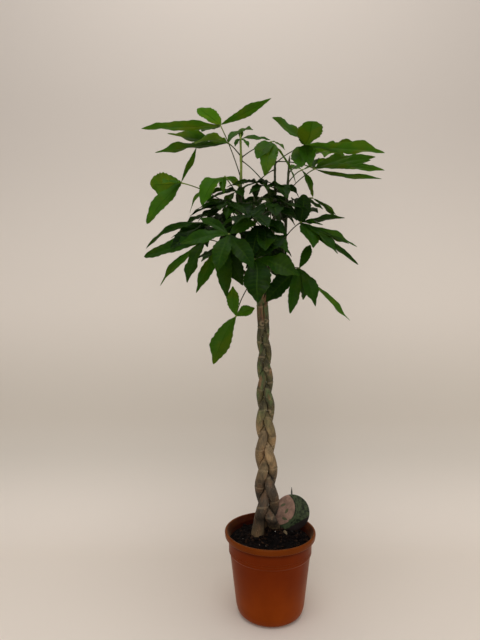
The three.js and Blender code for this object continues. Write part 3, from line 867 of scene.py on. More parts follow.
@dataclass(frozen=True)
class ShootFinish:
    """The skin of green stems and stalks, from woody at the foot to fresh at the tip."""

    woody: Colour = linear(74, 62, 40)
    green: Colour = linear(58, 66, 24)
    fresh: Colour = linear(140, 158, 66)
    gaps: Colour = (0.6, 0.58, 0.55)
    fineness: float = 700
    stretch: float = 7
    half_grown: float = 0.5
    relief: float = 0.4

    def build(self, effects: Effects) -> Material:
        """Return the material, coloured along the attribute youth."""
        made, board = material("green_shoot")
        age = board.attribute("youth")
        fibre = board.group(effects.fibres, Vector=board.place(), Fineness=self.fineness,
                            Stretch=self.stretch).outputs
        base = board.blend(board.span(age, 0, self.half_grown), self.woody, self.green)
        base = board.blend(board.span(age, self.half_grown, 1), base, self.fresh)
        base = board.blend(fibre["Mask"], board.tint(base, self.gaps), base)
        board.show(board.add("BsdfPrincipled", {
            "Base Color": base, "Roughness": 0.5, "IOR": 1.42,
            "Normal": board.bump(fibre["Height"], 0.5, self.relief)}))
        return made


@dataclass(frozen=True)
class Patches:
    """Where a patchy colour shows: its pattern, and the heights where it sets in."""

    stretch: Triple
    scale: float
    edges: Pair
    heights: Ramp

    def mask(self, board: Board, height: Socket) -> Socket:
        """Return the mask of the patches."""
        cloud = board.noise(board.place(self.stretch), self.scale, 3)
        return board.times(board.span(cloud, *self.edges), board.span(height, *self.heights))


@dataclass(frozen=True)
class BarkFinish:
    """The thin bark of one strand: pale at the soil, grey-tan, and greener on high."""

    name: str
    middle: Colour
    high: Colour
    low: Colour = linear(78, 65, 48)
    foot: Colour = linear(142, 118, 84)
    scar: Colour = linear(196, 172, 132)
    moss: Colour = linear(82, 100, 56)
    rust: Colour = linear(130, 92, 66)
    middle_heights: Pair = (0.36, 0.46)
    high_heights: Pair = (0.52, 0.63)
    foot_heights: Ramp = (0.262, 0.222, 0, 0.8)
    mossy: Patches = Patches((1, 1, 0.35), 48, (0.46, 0.56), (0.48, 0.66, 0, 0.85))
    rusty: Patches = Patches((1.1, 0.9, 0.45), 38, (0.54, 0.64), (0.45, 0.75, 0.25, 0.8))
    cloud_low: Colour = (0.42, 0.42, 0.4)
    cloud_high: Colour = (1.42, 1.36, 1.26)
    gaps: Colour = (0.38, 0.36, 0.34)
    # painted shade in the creases where the strands press together
    pressed: Colour = (0.22, 0.18, 0.14)
    fleck_edges: Ramp = (0.66, 0.74, 0, 0.5)
    scar_share: float = 0.4
    relief: float = 1.2

    def build(self, effects: Effects) -> Material:
        """Return the material, coloured by height and by the attributes scar and seam."""
        made, board = material(self.name)
        height = board.height()
        fibre = board.group(effects.fibres, Vector=board.place(), Fineness=420,
                            Stretch=9).outputs
        clouds = board.group(effects.mottle, Vector=board.place((1, 1, 0.4)), Scale=42,
                             Low=self.cloud_low, High=self.cloud_high).outputs
        base = board.blend(board.span(height, *self.middle_heights), self.low, self.middle)
        base = board.blend(board.span(height, *self.high_heights), base, self.high)
        base = board.blend(board.span(height, *self.foot_heights), base, self.foot)
        base = board.blend(self.mossy.mask(board, height), base, self.moss)
        base = board.blend(self.rusty.mask(board, height), base, self.rust)
        base = board.tint(base, clouds["Color"])
        between = board.sum("MULTIPLY_ADD", fibre["Mask"], 0.75, 0.25)
        base = board.blend(between, board.tint(base, self.gaps), base)
        flecks = board.noise(board.place((1, 1, 3.2)), 150, 2)
        base = board.blend(board.span(flecks, *self.fleck_edges), base, self.scar)
        scars = board.times(board.attribute("scar"), self.scar_share)
        base = board.blend(scars, base, self.scar)
        # painted shade in the creases between strands, and the real dark lines of old leaf
        # rings and knots
        base = board.blend(board.attribute("seam"), base, board.tint(base, self.pressed))
        board.show(board.add("BsdfPrincipled", {
            "Base Color": base, "Roughness": board.span(fibre["Mask"], 0, 1, 0.82, 0.66),
            "Normal": board.bump(fibre["Height"], 0.8, self.relief)}))
        return made


@dataclass(frozen=True)
class PotFinish:
    """Satin terracotta-coloured plastic with a little dust and scuffing, and painted shade
    and light.
    """

    body: Colour = (0.143, 0.0172, 0.0001)
    # painted light: the body is painted paler towards the foot
    pale: Colour = (0.205, 0.031, 0.0006)
    dust: Colour = linear(134, 80, 26)
    rim: Colour = (0.14, 0.026, 0.0008)
    # painted shade on the inner wall and the inner slope of the rim
    inner_shade: Colour = linear(48, 13, 9)
    cloud: Colour = (1.15, 1.2, 1.4)
    shadow: Colour = (0, 0, 0)
    painted_light_heights: Pair = (0.16, 0.03)
    rim_heights: Pair = (0.2185, 0.2205)
    shadow_from: Pair = (0.205, 0.217)
    shadow_to: Pair = (0.2215, 0.2195)
    shadow_share: float = 0.45
    lip_height: float = 0.2205
    lip_slope: float = -0.4
    inner_radii: Pair = (0.1223, 0.1215)
    inside_to: Pair = (0.239, 0.2375)
    inside_from: Pair = (0.19, 0.2)
    inner_shade_share: float = 0.82
    scuff_edges: Pair = (0.6, 0.85)
    scuff_share: float = 0.18
    dustiness: float = 0.3
    relief: float = 0.25

    def build(self, effects: Effects) -> Material:
        """Return the material."""
        made, board = material("terracotta_plastic")
        height = board.height()
        # painted light: the body is painted paler towards the foot
        plain = board.blend(board.span(height, *self.painted_light_heights), self.body, self.pale)
        plain = board.blend(board.span(height, *self.rim_heights), plain, self.rim)
        under_lip = board.times(board.span(height, *self.shadow_from),
                                board.span(height, *self.shadow_to))
        plain = board.blend(board.times(under_lip, self.shadow_share), plain, self.shadow)
        # painted shade: the inner wall above the soil and the rim's inner slope are darkened
        inside = board.times(self._inner_shade_mask(board, height), self.inner_shade_share)
        plain = board.blend(inside, plain, self.inner_shade)
        clouds = board.group(effects.mottle, Vector=board.place(), Scale=14, Low=plain,
                             High=board.tint(plain, self.cloud)).outputs
        scuffs = board.span(board.noise(board.place((1, 1, 0.15)), 320, 5, 0.7),
                            *self.scuff_edges)
        base = board.blend(board.times(scuffs, self.scuff_share), clouds["Color"], self.dust)
        dusty = board.group(effects.dust, Base=base, Dust=self.dust,
                            Amount=self.dustiness).outputs
        rough = board.sum("MULTIPLY_ADD", clouds["Mask"], 0.08,
                          board.sum("MULTIPLY_ADD", dusty["Mask"], 0.4, 0.34))
        grain = board.noise(board.place(), 1500, 2)
        turned = board.noise(board.place((0.02, 0.02, 1)), 420, 2)
        skin = board.sum("MULTIPLY_ADD", turned, 0.8, board.times(grain, 0.3))
        board.show(board.add("BsdfPrincipled", {
            "Base Color": dusty["Color"], "Roughness": rough, "IOR": 1.5,
            "Normal": board.bump(skin, 0.25, self.relief), "Specular IOR Level": 0.05,
            "Sheen Weight": 0.14, "Sheen Roughness": 0.35, "Sheen Tint": (1, 0.66, 0.36)}))
        return made

    def _inner_shade_mask(self, board: Board, height: Socket) -> Socket:
        """Return the mask of the inner wall, from the soil to just under the rim's top."""
        flat = board.add("VectorMath", {0: board.place((1, 1, 0))}, operation="LENGTH")
        over = board.sum("MAXIMUM", board.sum("SUBTRACT", height, self.lip_height), 0)
        radius = board.sum("MULTIPLY_ADD", over, self.lip_slope, flat.outputs["Value"])
        inner = board.times(board.span(radius, *self.inner_radii),
                            board.span(height, *self.inside_to))
        return board.times(inner, board.span(height, *self.inside_from))


@dataclass(frozen=True)
class EarthFinish:
    """One ingredient of the potting mix."""

    name: str
    low: Colour
    high: Colour
    scale: float
    roughness: float = 0.92
    relief: float = 1.2
    grit_fineness: float = 6
    damp: float = 0.12

    def build(self, effects: Effects) -> Material:
        """Return the material."""
        made, board = material(self.name)
        patches = board.group(effects.mottle, Vector=board.place(), Scale=self.scale,
                              Low=self.low, High=self.high).outputs
        grit = board.noise(board.place(), self.scale * self.grit_fineness, 4, 0.7)
        rough = board.span(grit, 0.3, 0.7, self.roughness, self.roughness - self.damp)
        board.show(board.add("BsdfPrincipled", {
            "Base Color": patches["Color"], "Roughness": rough,
            "Normal": board.bump(grit, 0.9, self.relief), "Specular IOR Level": 0.15}))
        return made


@dataclass(frozen=True)
class CardFinish:
    """Glossy printed card: a plain design of ovals beside rings of dark green.

    Places and sizes of the design are shares of the card's radius.
    """

    centre: Row
    radius: float
    paper: Colour = linear(172, 134, 116)
    blush: Colour = linear(124, 98, 82)
    green: Colour = linear(16, 26, 14)
    moss: Colour = linear(72, 84, 54)
    band: Colour = linear(34, 26, 24)
    ring_centre: Pair = (-0.75, 0.25)
    ring: float = 0.92
    ring_blur: float = 0.02
    ring_steps: tuple[float, ...] = (0.1, 0.24)
    ring_line: Ramp = (0.012, 0.03, 0.7, 0)
    ovals: tuple[tuple[Pair, float], ...] = (
        ((-0.5, 0.42), 25), ((-0.3, 0.08), 55), ((-0.42, -0.34), -20), ((-0.05, -0.42), 10))
    oval_slimness: float = 2.2
    oval_edges: Ramp = (0.14, 0.17, 0.85, 0)
    band_slope: float = -0.55
    band_edges: Pair = (-0.72, -0.75)

    def build(self, effects: Effects) -> Material:
        """Return the material, drawn on Object coordinates."""
        made, board = material("printed_card")
        where = board.add("TexCoord").outputs["Object"]
        x, _, z = board.split(board.add("Mapping", {
            "Vector": where, "Location": [-c * MM for c in self.centre]}).outputs[0])
        x, z = (board.sum("DIVIDE", v, self.radius * MM) for v in (x, z))
        paper = board.group(effects.mottle, Vector=where, Scale=55, Low=self.blush,
                            High=self.paper).outputs["Color"]
        field = board.group(effects.mottle, Vector=where, Scale=120, Low=self.green,
                            High=self.moss).outputs["Color"]
        away = self._away(board, x, z, self.ring_centre)
        base = board.blend(board.span(away, self.ring - self.ring_blur,
                                      self.ring + self.ring_blur), paper, field)
        for step in self.ring_steps:
            arc = board.sum("ABSOLUTE", board.sum("SUBTRACT", away, self.ring + step))
            base = board.blend(board.span(arc, *self.ring_line), base, self.moss)
        for centre, turn in self.ovals:
            base = board.blend(self._oval(board, x, z, centre, turn), base, self.moss)
        corner = board.sum("MULTIPLY_ADD", x, self.band_slope, z)
        base = board.blend(board.span(corner, *self.band_edges), base, self.band)
        rough = board.span(board.noise(where, 60), 0.3, 0.7, 0.28, 0.42)
        board.show(board.add("BsdfPrincipled", {
            "Base Color": base, "Roughness": rough, "IOR": 1.45,
            "Specular IOR Level": 0.3}))
        return made

    @staticmethod
    def _away(board: Board, x: Value, z: Value, centre: Row) -> Socket:
        """Return the distance from a centre on the card."""
        dx, dz = board.sum("SUBTRACT", x, centre[0]), board.sum("SUBTRACT", z, centre[1])
        return board.sum("SQRT", board.sum("ADD", board.times(dx, dx), board.times(dz, dz)))

    def _oval(self, board: Board, x: Value, z: Value, centre: Row,
              turn: float) -> Socket:
        """Return the mask of one plain oval, turned by some degrees."""
        c, s = math.cos(math.radians(turn)), math.sin(math.radians(turn))
        dx, dz = board.sum("SUBTRACT", x, centre[0]), board.sum("SUBTRACT", z, centre[1])
        along = board.sum("ADD", board.times(dx, c), board.times(dz, s))
        aside = board.sum("SUBTRACT", board.times(dz, c), board.times(dx, s))
        size = self._away(board, along, board.times(aside, self.oval_slimness), (0, 0))
        return board.span(size, *self.oval_edges)


@dataclass(frozen=True)
class StickFinish:
    """Dark satin plastic."""

    tone: Colour = linear(34, 33, 30)
    scuff: Colour = linear(70, 66, 58)

    def build(self, effects: Effects) -> Material:
        """Return the material."""
        made, board = material("dark_plastic")
        patches = board.group(effects.mottle, Vector=board.place((1, 1, 0.3)), Scale=180,
                              Low=self.tone, High=self.scuff).outputs
        rough = board.span(patches["Mask"], 0, 1, 0.4, 0.55)
        board.show(board.add("BsdfPrincipled", {"Base Color": patches["Color"],
                                                "Roughness": rough}))
        return made


# ------------------------------------------------------------------------------ pot


def rounded(rows: Rows, steps: int = 4) -> list[Pair]:
    """Round the corners of an open outline.

    Args:
        rows: Points as (radius, height, size of the rounding).
        steps: Number of segments in each rounding.

    Returns:
        The outline's points as (radius, height).
    """
    made = [tuple(rows[0][:2])]
    for before, here, after in zip(rows, rows[1:], rows[2:]):
        p, q, r = (np.array(row[:2], float) for row in (before, here, after))
        if here[2] <= 0:
            made.append(tuple(q))
            continue
        start = q + unit(p - q) * min(here[2], 0.45 * np.linalg.norm(p - q))
        end = q + unit(r - q) * min(here[2], 0.45 * np.linalg.norm(r - q))
        made.extend(tuple(point) for point in bent(start, q, end, steps + 1))
    return [*made, tuple(rows[-1][:2])]


@dataclass
class NurseryPot:
    """A moulded plastic pot with a turned-out rim, a collar and a ring to stand on."""

    rim_radius: float = 135
    rim_top: float = 238
    rim_depth: float = 17
    collar_radius: float = 122.5
    collar_bottom: float = 176
    collar_step: float = 3.5
    collar_blend: float = 2
    grooves: Pair = (184, 189)
    groove_depth: float = 0.45
    heel_radius: float = 101
    heel_height: float = 24
    wall_ring: float = 120
    foot_radius: float = 86
    foot_width: float = 9
    foot_recess: float = 4
    floor_height: float = 7
    wall: float = 2.4
    drain_count: int = 8
    drain_radius: float = 7
    drain_circle: float = 58
    segments: int = 120

    def outline(self) -> list[Pair]:
        """Return the wall's outline from the axis outside, over the rim, to inside."""
        foot, heel = self.foot_radius - self.foot_width, self.heel_radius
        collar, rim, wall = self.collar_radius, self.rim_radius, self.wall
        lip, top = self.rim_top - self.rim_depth, self.rim_top
        shoulder = self.collar_bottom - self.collar_blend
        slope = (collar - self.collar_step - heel) / (shoulder - self.heel_height)
        outside = [
            (0, self.foot_recess, 0), (foot - 3, self.foot_recess, 1), (foot, 0, 1),
            (self.foot_radius, 0, 1.5), (heel - 5, 8, 6), (heel, self.heel_height, 6),
            (heel + slope * self.wall_ring, self.heel_height + self.wall_ring, 0),
            (collar - self.collar_step, shoulder, 1),
            (collar, self.collar_bottom + self.collar_blend, 1.2),
            *self._groove(collar + 0.1, self.grooves[0]),
            *self._groove(collar + 0.2, self.grooves[1]),
            (collar + 1, lip - 1, 1.2), (rim - 2.5, lip, 1.5), (rim - 1.2, lip + 2, 1),
            (rim, top - 3, 2.5), (rim - 2.5, top, 2), (rim - 8, top - 1, 2.5),
        ]
        inside = [
            (collar - wall + 1, lip, 3), (collar - wall, self.collar_bottom + 4, 1),
            (collar - self.collar_step - wall - 2, self.collar_bottom, 1),
            (heel - wall, self.heel_height, 8), (heel - wall - 9, self.floor_height, 4),
            (0, self.floor_height, 0),
        ]
        return rounded(outside + inside)

    def _groove(self, radius: float, height: float) -> list[Triple]:
        """Return the rows of a faint ring cut into the collar."""
        bottom = radius - self.groove_depth
        return [(radius, height - 0.8, 0), (bottom, height - 0.3, 0),
                (bottom, height + 0.3, 0), (radius, height + 0.8, 0)]

    def build(self, finish: PotFinish, effects: Effects) -> None:
        """Model the pot, drain it and dress it."""
        shell = Bench.spun(self.outline(), self.segments)
        drills = []
        for i in range(self.drain_count):
            turn = 2 * math.pi * (i + 0.5) / self.drain_count
            Bench.clear()
            bpy.ops.mesh.primitive_cylinder_add(
                vertices=24, radius=self.drain_radius * MM, depth=3 * self.floor_height * MM,
                location=(self.drain_circle * MM * math.cos(turn),
                          self.drain_circle * MM * math.sin(turn), 5 * MM))
            drills.append(bpy.context.object)
        drill = Bench.join(drills)
        Bench.modify(shell, "BOOLEAN", operation="DIFFERENCE", object=drill, solver="EXACT")
        bpy.data.objects.remove(drill)
        Bench.hang(shell, "pot_shell", ["pot"], Slot.POT, [finish.build(effects)], 30)


# ----------------------------------------------------------------------------- soil


@dataclass(frozen=True)
class Bits:
    """Small bits of one kind, strewn over the soil."""

    name: str
    count: int
    sizes: Pair
    shape: Triple
    seed: int
    finish: EarthFinish
    places: Sequence[Pair] = ()

    def template(self) -> Piece:
        """Model one irregular broken bit, about 1 mm half long, to be copied."""
        Bench.clear()
        bpy.ops.mesh.primitive_ico_sphere_add(subdivisions=1, radius=MM)
        bit = bpy.context.object
        rng = np.random.default_rng(self.seed)
        places = Bench.places(bit)
        places *= 1 + rng.uniform(-0.3, 0.25, (len(places), 1))
        Bench.move(bit, places * np.array(self.shape))
        return bit


@dataclass
class PottingMix:
    """The filled pot's soil: a crumbly bed with bark chips and perlite on it."""

    level: float = 207
    mound: float = 20
    mound_centre: Pair = (6, 36)
    mound_width: float = 55
    relief: float = 2.2
    edge: float = 120.4
    border: float = 12
    rings: int = 34
    sectors: int = 110
    wall: Rows = ((0, 7.3), (89.3, 7.3), (98.3, 24.3), (114.3, 176.3), (119.8, 180.3))
    clods: Rows = ((5.0, 0.06, 3.1), (4.0, 0.22, 8.7), (1.4, 0.6, 1.3))
    feet: tuple[Pair, ...] = ((-36, 14), (16, 48))
    foot_radius: float = 21
    foot_chips: int = 16
    size_bias: float = 2.2
    placed_size: float = 0.9
    seed: int = 41

    def height(self, x: float, y: float) -> float:
        """Return the soil's height at a place, in millimetres."""
        away = math.hypot(x - self.mound_centre[0], y - self.mound_centre[1])
        rise = self.mound * math.exp(-((away / self.mound_width) ** 2))
        waves = math.sin(x * 0.13 + 1.7) * math.cos(y * 0.11) + math.sin((x + y) * 0.07)
        inside = 1 - smooth(math.hypot(x, y), self.edge - self.border, self.edge - 1)
        return self.level + (rise + self.relief * waves / 2) * inside

    def lumps(self, x: float, y: float) -> float:
        """Return the height of clods and crumbs over the soil, in millimetres."""
        fade = 1 - smooth(math.hypot(x, y), self.edge - 5, self.edge)
        return fade * sum(size * noise.noise(Vector((x * fineness, y * fineness, layer)))
                          for size, fineness, layer in self.clods)

    def bits(self) -> tuple[Bits, ...]:
        """Return what lies on the bed."""
        return (
            Bits("bark_chips", 320, (2.4, 9.0), (1.0, 0.55, 0.28), 3,
                 EarthFinish("bark_chip", linear(20, 11, 7), linear(64, 42, 28), 260),
                 self._round_feet()),
            Bits("soil_crumbs", 380, (1.6, 9.5), (1.0, 0.8, 0.7), 5,
                 EarthFinish("soil_crumb", linear(6, 3, 2), linear(24, 13, 10), 300)),
            Bits("perlite_grains", 24, (0.6, 2.0), (1.0, 0.85, 0.8), 7,
                 EarthFinish("perlite", linear(176, 170, 158), linear(232, 228, 216),
                             500, 0.8, 0.4),
                 ((-80.5, 6), (-29.8, -6), (16.6, 14), (80.5, -0.8))),
            Bits("pale_chip", 1, (12.5, 12.5), (0.72, 0.5, 1.0), 9,
                 EarthFinish("pale_bark", linear(104, 88, 66), linear(158, 138, 108), 90),
                 ((48.8, 24),)),
        )

    def _round_feet(self) -> list[Pair]:
        """Return the places of the chips heaped in front of the trunk's legs."""
        made = []
        for x, y in self.feet:
            for i in range(self.foot_chips):
                turn = math.pi * (1 + (i + 0.5) / self.foot_chips)
                radius = self.foot_radius * (1 + 0.3 * (i % 3))
                made.append((x + radius * math.cos(turn), y + radius * math.sin(turn)))
        return made

    def build(self, effects: Effects) -> None:
        """Model the bed, the chips, the crumbs and the perlite."""
        self._bed(effects)
        rng = random.Random(self.seed)
        for kind in self.bits():
            self._scatter(kind, rng, effects)

    def _bed(self, effects: Effects) -> None:
        """Model the bed from the pot's floor to its crumbly top."""
        top = [(self.edge * (1 - i / self.rings), self.level) for i in range(self.rings)]
        bed = Bench.spun([*self.wall, *top, (0, self.level)], self.sectors)
        places = Bench.places(bed)
        for place in places:
            if place[2] > (self.level - 1) * MM:
                x, y = place[0] / MM, place[1] / MM
                place[2] = (self.height(x, y) + self.lumps(x, y)) * MM
        Bench.move(bed, places)
        finish = EarthFinish("potting_soil", linear(4, 2, 2), linear(17, 9, 7), 120,
                             0.95, 2.0)
        Bench.hang(bed, "soil_bed", ["soil"], Slot.SOIL, [finish.build(effects)], 50)

    def _scatter(self, kind: Bits, rng: random.Random, effects: Effects) -> None:
        """Strew copies of a bit over the soil as one piece, first at its given places.

        Args:
            kind: What is strewn.
            rng: The seeded source of chance.
            effects: The shared shader effects.
        """
        bit = kind.template()
        template = Bench.places(bit)
        copies = []
        for i in range(kind.count):
            placed = i < len(kind.places)
            if placed:
                x, y = kind.places[i]
            else:
                radius = (self.edge - 6) * math.sqrt(rng.random())
                turn = rng.uniform(0, 2 * math.pi)
                x, y = radius * math.cos(turn), radius * math.sin(turn)
            size = mix(*kind.sizes, rng.random() ** self.size_bias)
            if placed:
                size = mix(*kind.sizes, self.placed_size)
            spin = (rng.uniform(-0.5, 0.5), rng.uniform(-0.5, 0.5), rng.uniform(0, 6.28))
            turned = self._turned(template * size, Vector(spin))
            z = self.height(x, y) + self.lumps(x, y) + size * 0.25
            copies.append(Bench.copy(bit, turned + np.array([x, y, z]) * MM))
        bpy.data.objects.remove(bit)
        Bench.hang(Bench.join(copies), kind.name, ["soil"], Slot.SOIL,
                   [kind.finish.build(effects)], 25)

    @staticmethod
    def _turned(places: Array, spin: Vector) -> Array:
        """Return places turned by three angles about X, Y and Z."""
        for axis, angle in enumerate(spin):
            c, s = math.cos(angle), math.sin(angle)
            u, v = [(1, 2), (2, 0), (0, 1)][axis]
            turned = places.copy()
            turned[:, u] = places[:, u] * c - places[:, v] * s
            turned[:, v] = places[:, u] * s + places[:, v] * c
            places = turned
        return places


# ---------------------------------------------------------------------------- trunk


@dataclass
class Braid:
    """Three young trunks plaited round each other, with their woody arms."""

    first_bulge: float = 766
    bulge_step: float = 77.65
    bulge_growth: float = 2.35
    start: float = -0.5
    end: float = 5.5
    swing: Pair = (10.2, 21.5)
    depth: Pair = (8, 15.5)
    radius: Pair = (9.6, 17)
    press_gap: float = 0.3
    flatness: float = 7
    last_twist: float = 0.45
    sides: int = 32
    level_step: float = 2.2
    fork: float = 898
    top: float = 919
    bottom: float = 125
    soil: float = 214
    splay: float = 285
    flare: float = 0.16
    flare_height: float = 34
    crown_height: float = 14
    line: Rows = ((200, -8), (350, -10), (470, -12), (620, -14), (770, -17), (940, -27))

    # old leaf rings: the lowest and highest, the room between two, tilt, half height
    ring_heights: Pair = (230, 900)
    ring_room: Pair = (38, 84)
    ring_tilt: float = 3.5
    ring_width: float = 2.6

    # knots: how many a strand has, between which heights and sizes
    knots: int = 4
    knot_heights: Pair = (330, 860)
    knot_sizes: Pair = (5, 8)
    knotted: int = 2
    knot: Triple = (-1.7, 859, 6)

    # ridges in the bark: height, fineness round and along, step between strands
    ridges: Rows = ((0.9, 0.11, 0.018, 9), (0.55, 0.42, 0.035, 5))

    # the arms' segments, and their radii over the fork and at the rest of the root
    arm_steps: int = 16
    arm_root: tuple[float, ...] = (6.2, 7.6, 8.3)
    arm_radius: float = 8.4

    # name, turn in the braid, where it meets the soil, where it ends
    strands: tuple[tuple[str, float, Pair, Pair], ...] = (
        ("left", 240, (-36, 14), (-46, 8)),
        ("right", 0, (16, 48), (22, 56)),
        ("back", 120, (-20, 58), (-26, 72)),
    )

    def count_at(self, z: float) -> float:
        """Return how many bulges below the first one a height lies."""
        root = self.bulge_step ** 2 + 4 * self.bulge_growth * (self.first_bulge - z)
        return (math.sqrt(root) - self.bulge_step) / (2 * self.bulge_growth)

    def middles(self, z: float) -> list[Triple]:
        """Return each strand's middle, as x and y, and its radius at a height."""
        turn = min(max(self.count_at(z), self.start - self.last_twist), self.end)
        down = max(turn - self.start, 0) / (self.end - self.start)
        wide = 1 + self.flare * math.exp(-(((z - self.soil) / self.flare_height) ** 2))
        spread = 1 - smooth(z, self.soil, self.splay)
        below = 1 - smooth(z, self.bottom, self.soil)
        heights, offsets = zip(*self.line)
        line = float(np.interp(z, heights, offsets))
        made = []
        for _, phase, at_soil, at_end in self.strands:
            angle = math.radians(90 + 120 * turn + phase)
            x = line + mix(*self.swing, down) * math.sin(angle)
            y = -mix(*self.depth, down) * math.sin(2 * angle)
            made.append((mix(x, mix(at_soil[0], at_end[0], below), spread),
                         mix(y, mix(at_soil[1], at_end[1], below), spread),
                         mix(*self.radius, down) * wide))
        return made

    def reach(self, index: int, z: float, angles: Array) -> tuple[Array, Array]:
        """Return a strand's surface at a height.

        Args:
            index: Which strand.
            z: The height.
            angles: Directions round its middle.

        Returns:
            Its reach in each direction, and how far it is pressed flat there, 0 to 1.
        """
        grazing, deepest = 0.05, 0.35  # smallest cosine that meets a neighbour; full press
        middles = self.middles(z)
        own = middles[index]
        total = np.full(len(angles), own[2] ** -self.flatness)
        for other in middles[:index] + middles[index + 1:]:
            dx, dy = other[0] - own[0], other[1] - own[1]
            facing = np.cos(angles - math.atan2(dy, dx))
            flat = (math.hypot(dx, dy) / 2 - self.press_gap / 2) / np.maximum(facing, grazing)
            total += np.where(facing > grazing, flat ** -self.flatness, 0)
        reach = total ** (-1 / self.flatness)
        return reach, np.clip((own[2] - reach) / (deepest * own[2]), 0, 1)

    def build(self, stems: dict[str, "Shoot"], finishes: Sequence[BarkFinish],
              effects: Effects) -> None:
        """Model the three strands with their arms and dress them."""
        for index, (name, *_) in enumerate(self.strands):
            strand = self._strand(index)
            for stem in stems.values():
                if stem.strand == name:
                    self._graft(strand, index, stem)
            Bench.hang(strand, f"trunk_{name}", [f"trunk_strand_{name}"], Slot.BARK,
                       [finishes[index].build(effects)], 60)

    def _strand(self, index: int) -> Piece:
        """Model one strand's body as a skin that closes at both ends."""
        rng = random.Random(70 + index)
        rows = round((self.top - self.bottom) / self.level_step)
        skin, around, up = Bench.grid(self.sides, rows)
        row, side = np.rint(up * rows).astype(int), np.rint(around * self.sides).astype(int)
        angles = 2 * math.pi * np.arange(self.sides + 1) / self.sides
        rings = self._rings(rng)
        knots = [(rng.uniform(0, 6.28), rng.uniform(*self.knot_heights),
                  rng.uniform(*self.knot_sizes)) for _ in range(self.knots)]
        if index == self.knotted:
            knots.append(self.knot)
        places = np.zeros((len(around), 3))
        scar, seam = np.zeros(len(around)), np.zeros(len(around))
        for level in range(rows + 1):
            z = mix(self.bottom, self.top, level / rows)
            middle = self.middles(z)[index]
            reach, pressed = self.reach(index, z, angles)
            bump, mark, line = self._marks(angles, z, rings, knots, middle[2])
            ridge = np.array([self._ridge(a, z, middle[2], index) for a in angles])
            dome = math.sqrt(max(0, (self.top - z) / self.crown_height))
            closing = min(1, dome, (level / 3) ** 0.5)
            out = (reach + (bump + ridge) * (1 - pressed)) * closing
            here = row == level
            places[here, 0] = (middle[0] + out * np.cos(angles))[side[here]]
            places[here, 1] = (middle[1] + out * np.sin(angles))[side[here]]
            places[here, 2] = z
            scar[here] = mark[side[here]]
            # the mask of painted shade in the creases between strands, with the dark lines of
            # rings and knots
            seam[here] = np.maximum(pressed ** 1.1, line)[side[here]]
        Bench.move(skin, places * MM)
        Bench.mark(skin, "scar", scar)
        Bench.mark(skin, "seam", seam)
        Bench.close(skin, 2e-5)
        return skin

    def _rings(self, rng: random.Random) -> list[Triple]:
        """Return a strand's old leaf rings: height, tilt direction and strength."""
        z, highest = self.ring_heights
        made = []
        while z < highest:
            z += rng.uniform(*self.ring_room)
            made.append((z, rng.uniform(0, 6.28), rng.uniform(0.5, 1.0)))
        return made

    def _marks(self, angles: Array, z: float, rings: Rows, knots: Rows,
               radius: float) -> tuple[Array, Array, Array]:
        """Return how far rings and knots stand out, their light and their dark masks."""
        bump, mark, line = (np.zeros(len(angles)) for _ in range(3))
        for height, lean, strength in rings:
            away = (z - height + self.ring_tilt * np.cos(angles - lean)) / self.ring_width
            ring = strength * np.exp(-(away ** 2))
            bump += 0.9 * ring - 0.4 * strength * np.exp(-((away - 1.8) ** 2))
            mark = np.maximum(mark, 0.7 * ring)
            line = np.maximum(line, 0.45 * strength * np.exp(-(((away - 1.5) / 0.7) ** 2)))
        for turn, height, size in knots:
            aside = radius * np.arctan2(np.sin(angles - turn), np.cos(angles - turn))
            away = np.sqrt((aside / size) ** 2 + ((z - height) / (0.8 * size)) ** 2)
            bump += 2.2 * np.exp(-(away ** 2)) - 1.6 * np.exp(-((away * 2.6) ** 2))
            mark = np.maximum(mark, np.exp(-((away - 0.9) ** 2) * 5))
            line = np.maximum(line, np.exp(-((away * 2.2) ** 2)))
        return bump, mark, line

    def _ridge(self, angle: float, z: float, radius: float, index: int) -> float:
        """Return the height of long uneven ridges in the bark, in millimetres."""
        x, y = radius * math.cos(angle), radius * math.sin(angle)
        return sum(height * noise.noise(Vector((x * round_it, y * round_it,
                                                z * along + step * index)))
                   for height, round_it, along, step in self.ridges)

    def _graft(self, strand: Piece, index: int, stem: "Shoot") -> None:
        """Model the woody arm up to a stem's foot and unite it with its strand."""
        x, y, _ = self.middles(self.fork)[index]
        fork = np.array([x, y, self.fork - 6])
        foot, second = np.array(stem.line[0], float), np.array(stem.line[1], float)
        away = unit(second - foot)
        neck = foot - 10 * away
        rise = np.array([x, y, (fork[2] * 2 + neck[2]) / 3])
        steps = self.arm_steps
        points = [*bent(fork, rise, neck, steps), foot - 0.5 * away, foot + 4 * away]
        thin = stem.radius[0]
        radii = [mix(self.arm_radius, thin + 1, i / (steps - 1)) for i in range(steps)]
        radii[:len(self.arm_root)] = self.arm_root
        radii += [thin + 0.9, thin - 1]
        arm = Bench.tube(np.array(points), radii, 5)
        Bench.mark(arm, "scar", 0.0)
        Bench.mark(arm, "seam", 0.0)
        Bench.modify(strand, "BOOLEAN", operation="UNION", object=arm, solver="EXACT")
        bpy.data.objects.remove(arm)


# ---------------------------------------------------------------------------- crown


@dataclass
class Shoot:
    """One leafy stem: its green shoot, its stalks and its blades."""

    name: str
    strand: str
    radius: Pair
    line: Rows
    woody_until: float = 1040
    fresh_from: float = 1330
    freshness: float = 0.55

    def path(self) -> Array:
        """Return the shoot's middle line."""
        return through(self.line, 12)

    def at(self, z: float) -> Array:
        """Return the point of the shoot's line at a height."""
        path = self.path()
        return np.array([np.interp(z, path[:, 2], path[:, axis]) for axis in range(3)])

    def youth(self, z: float) -> float:
        """Return how green and fresh the shoot is at a height, 0 to 1."""
        return 0.45 * smooth(z, self.woody_until - 60, self.woody_until + 60) + (
            self.freshness * smooth(z, self.fresh_from - 80, self.fresh_from + 40))


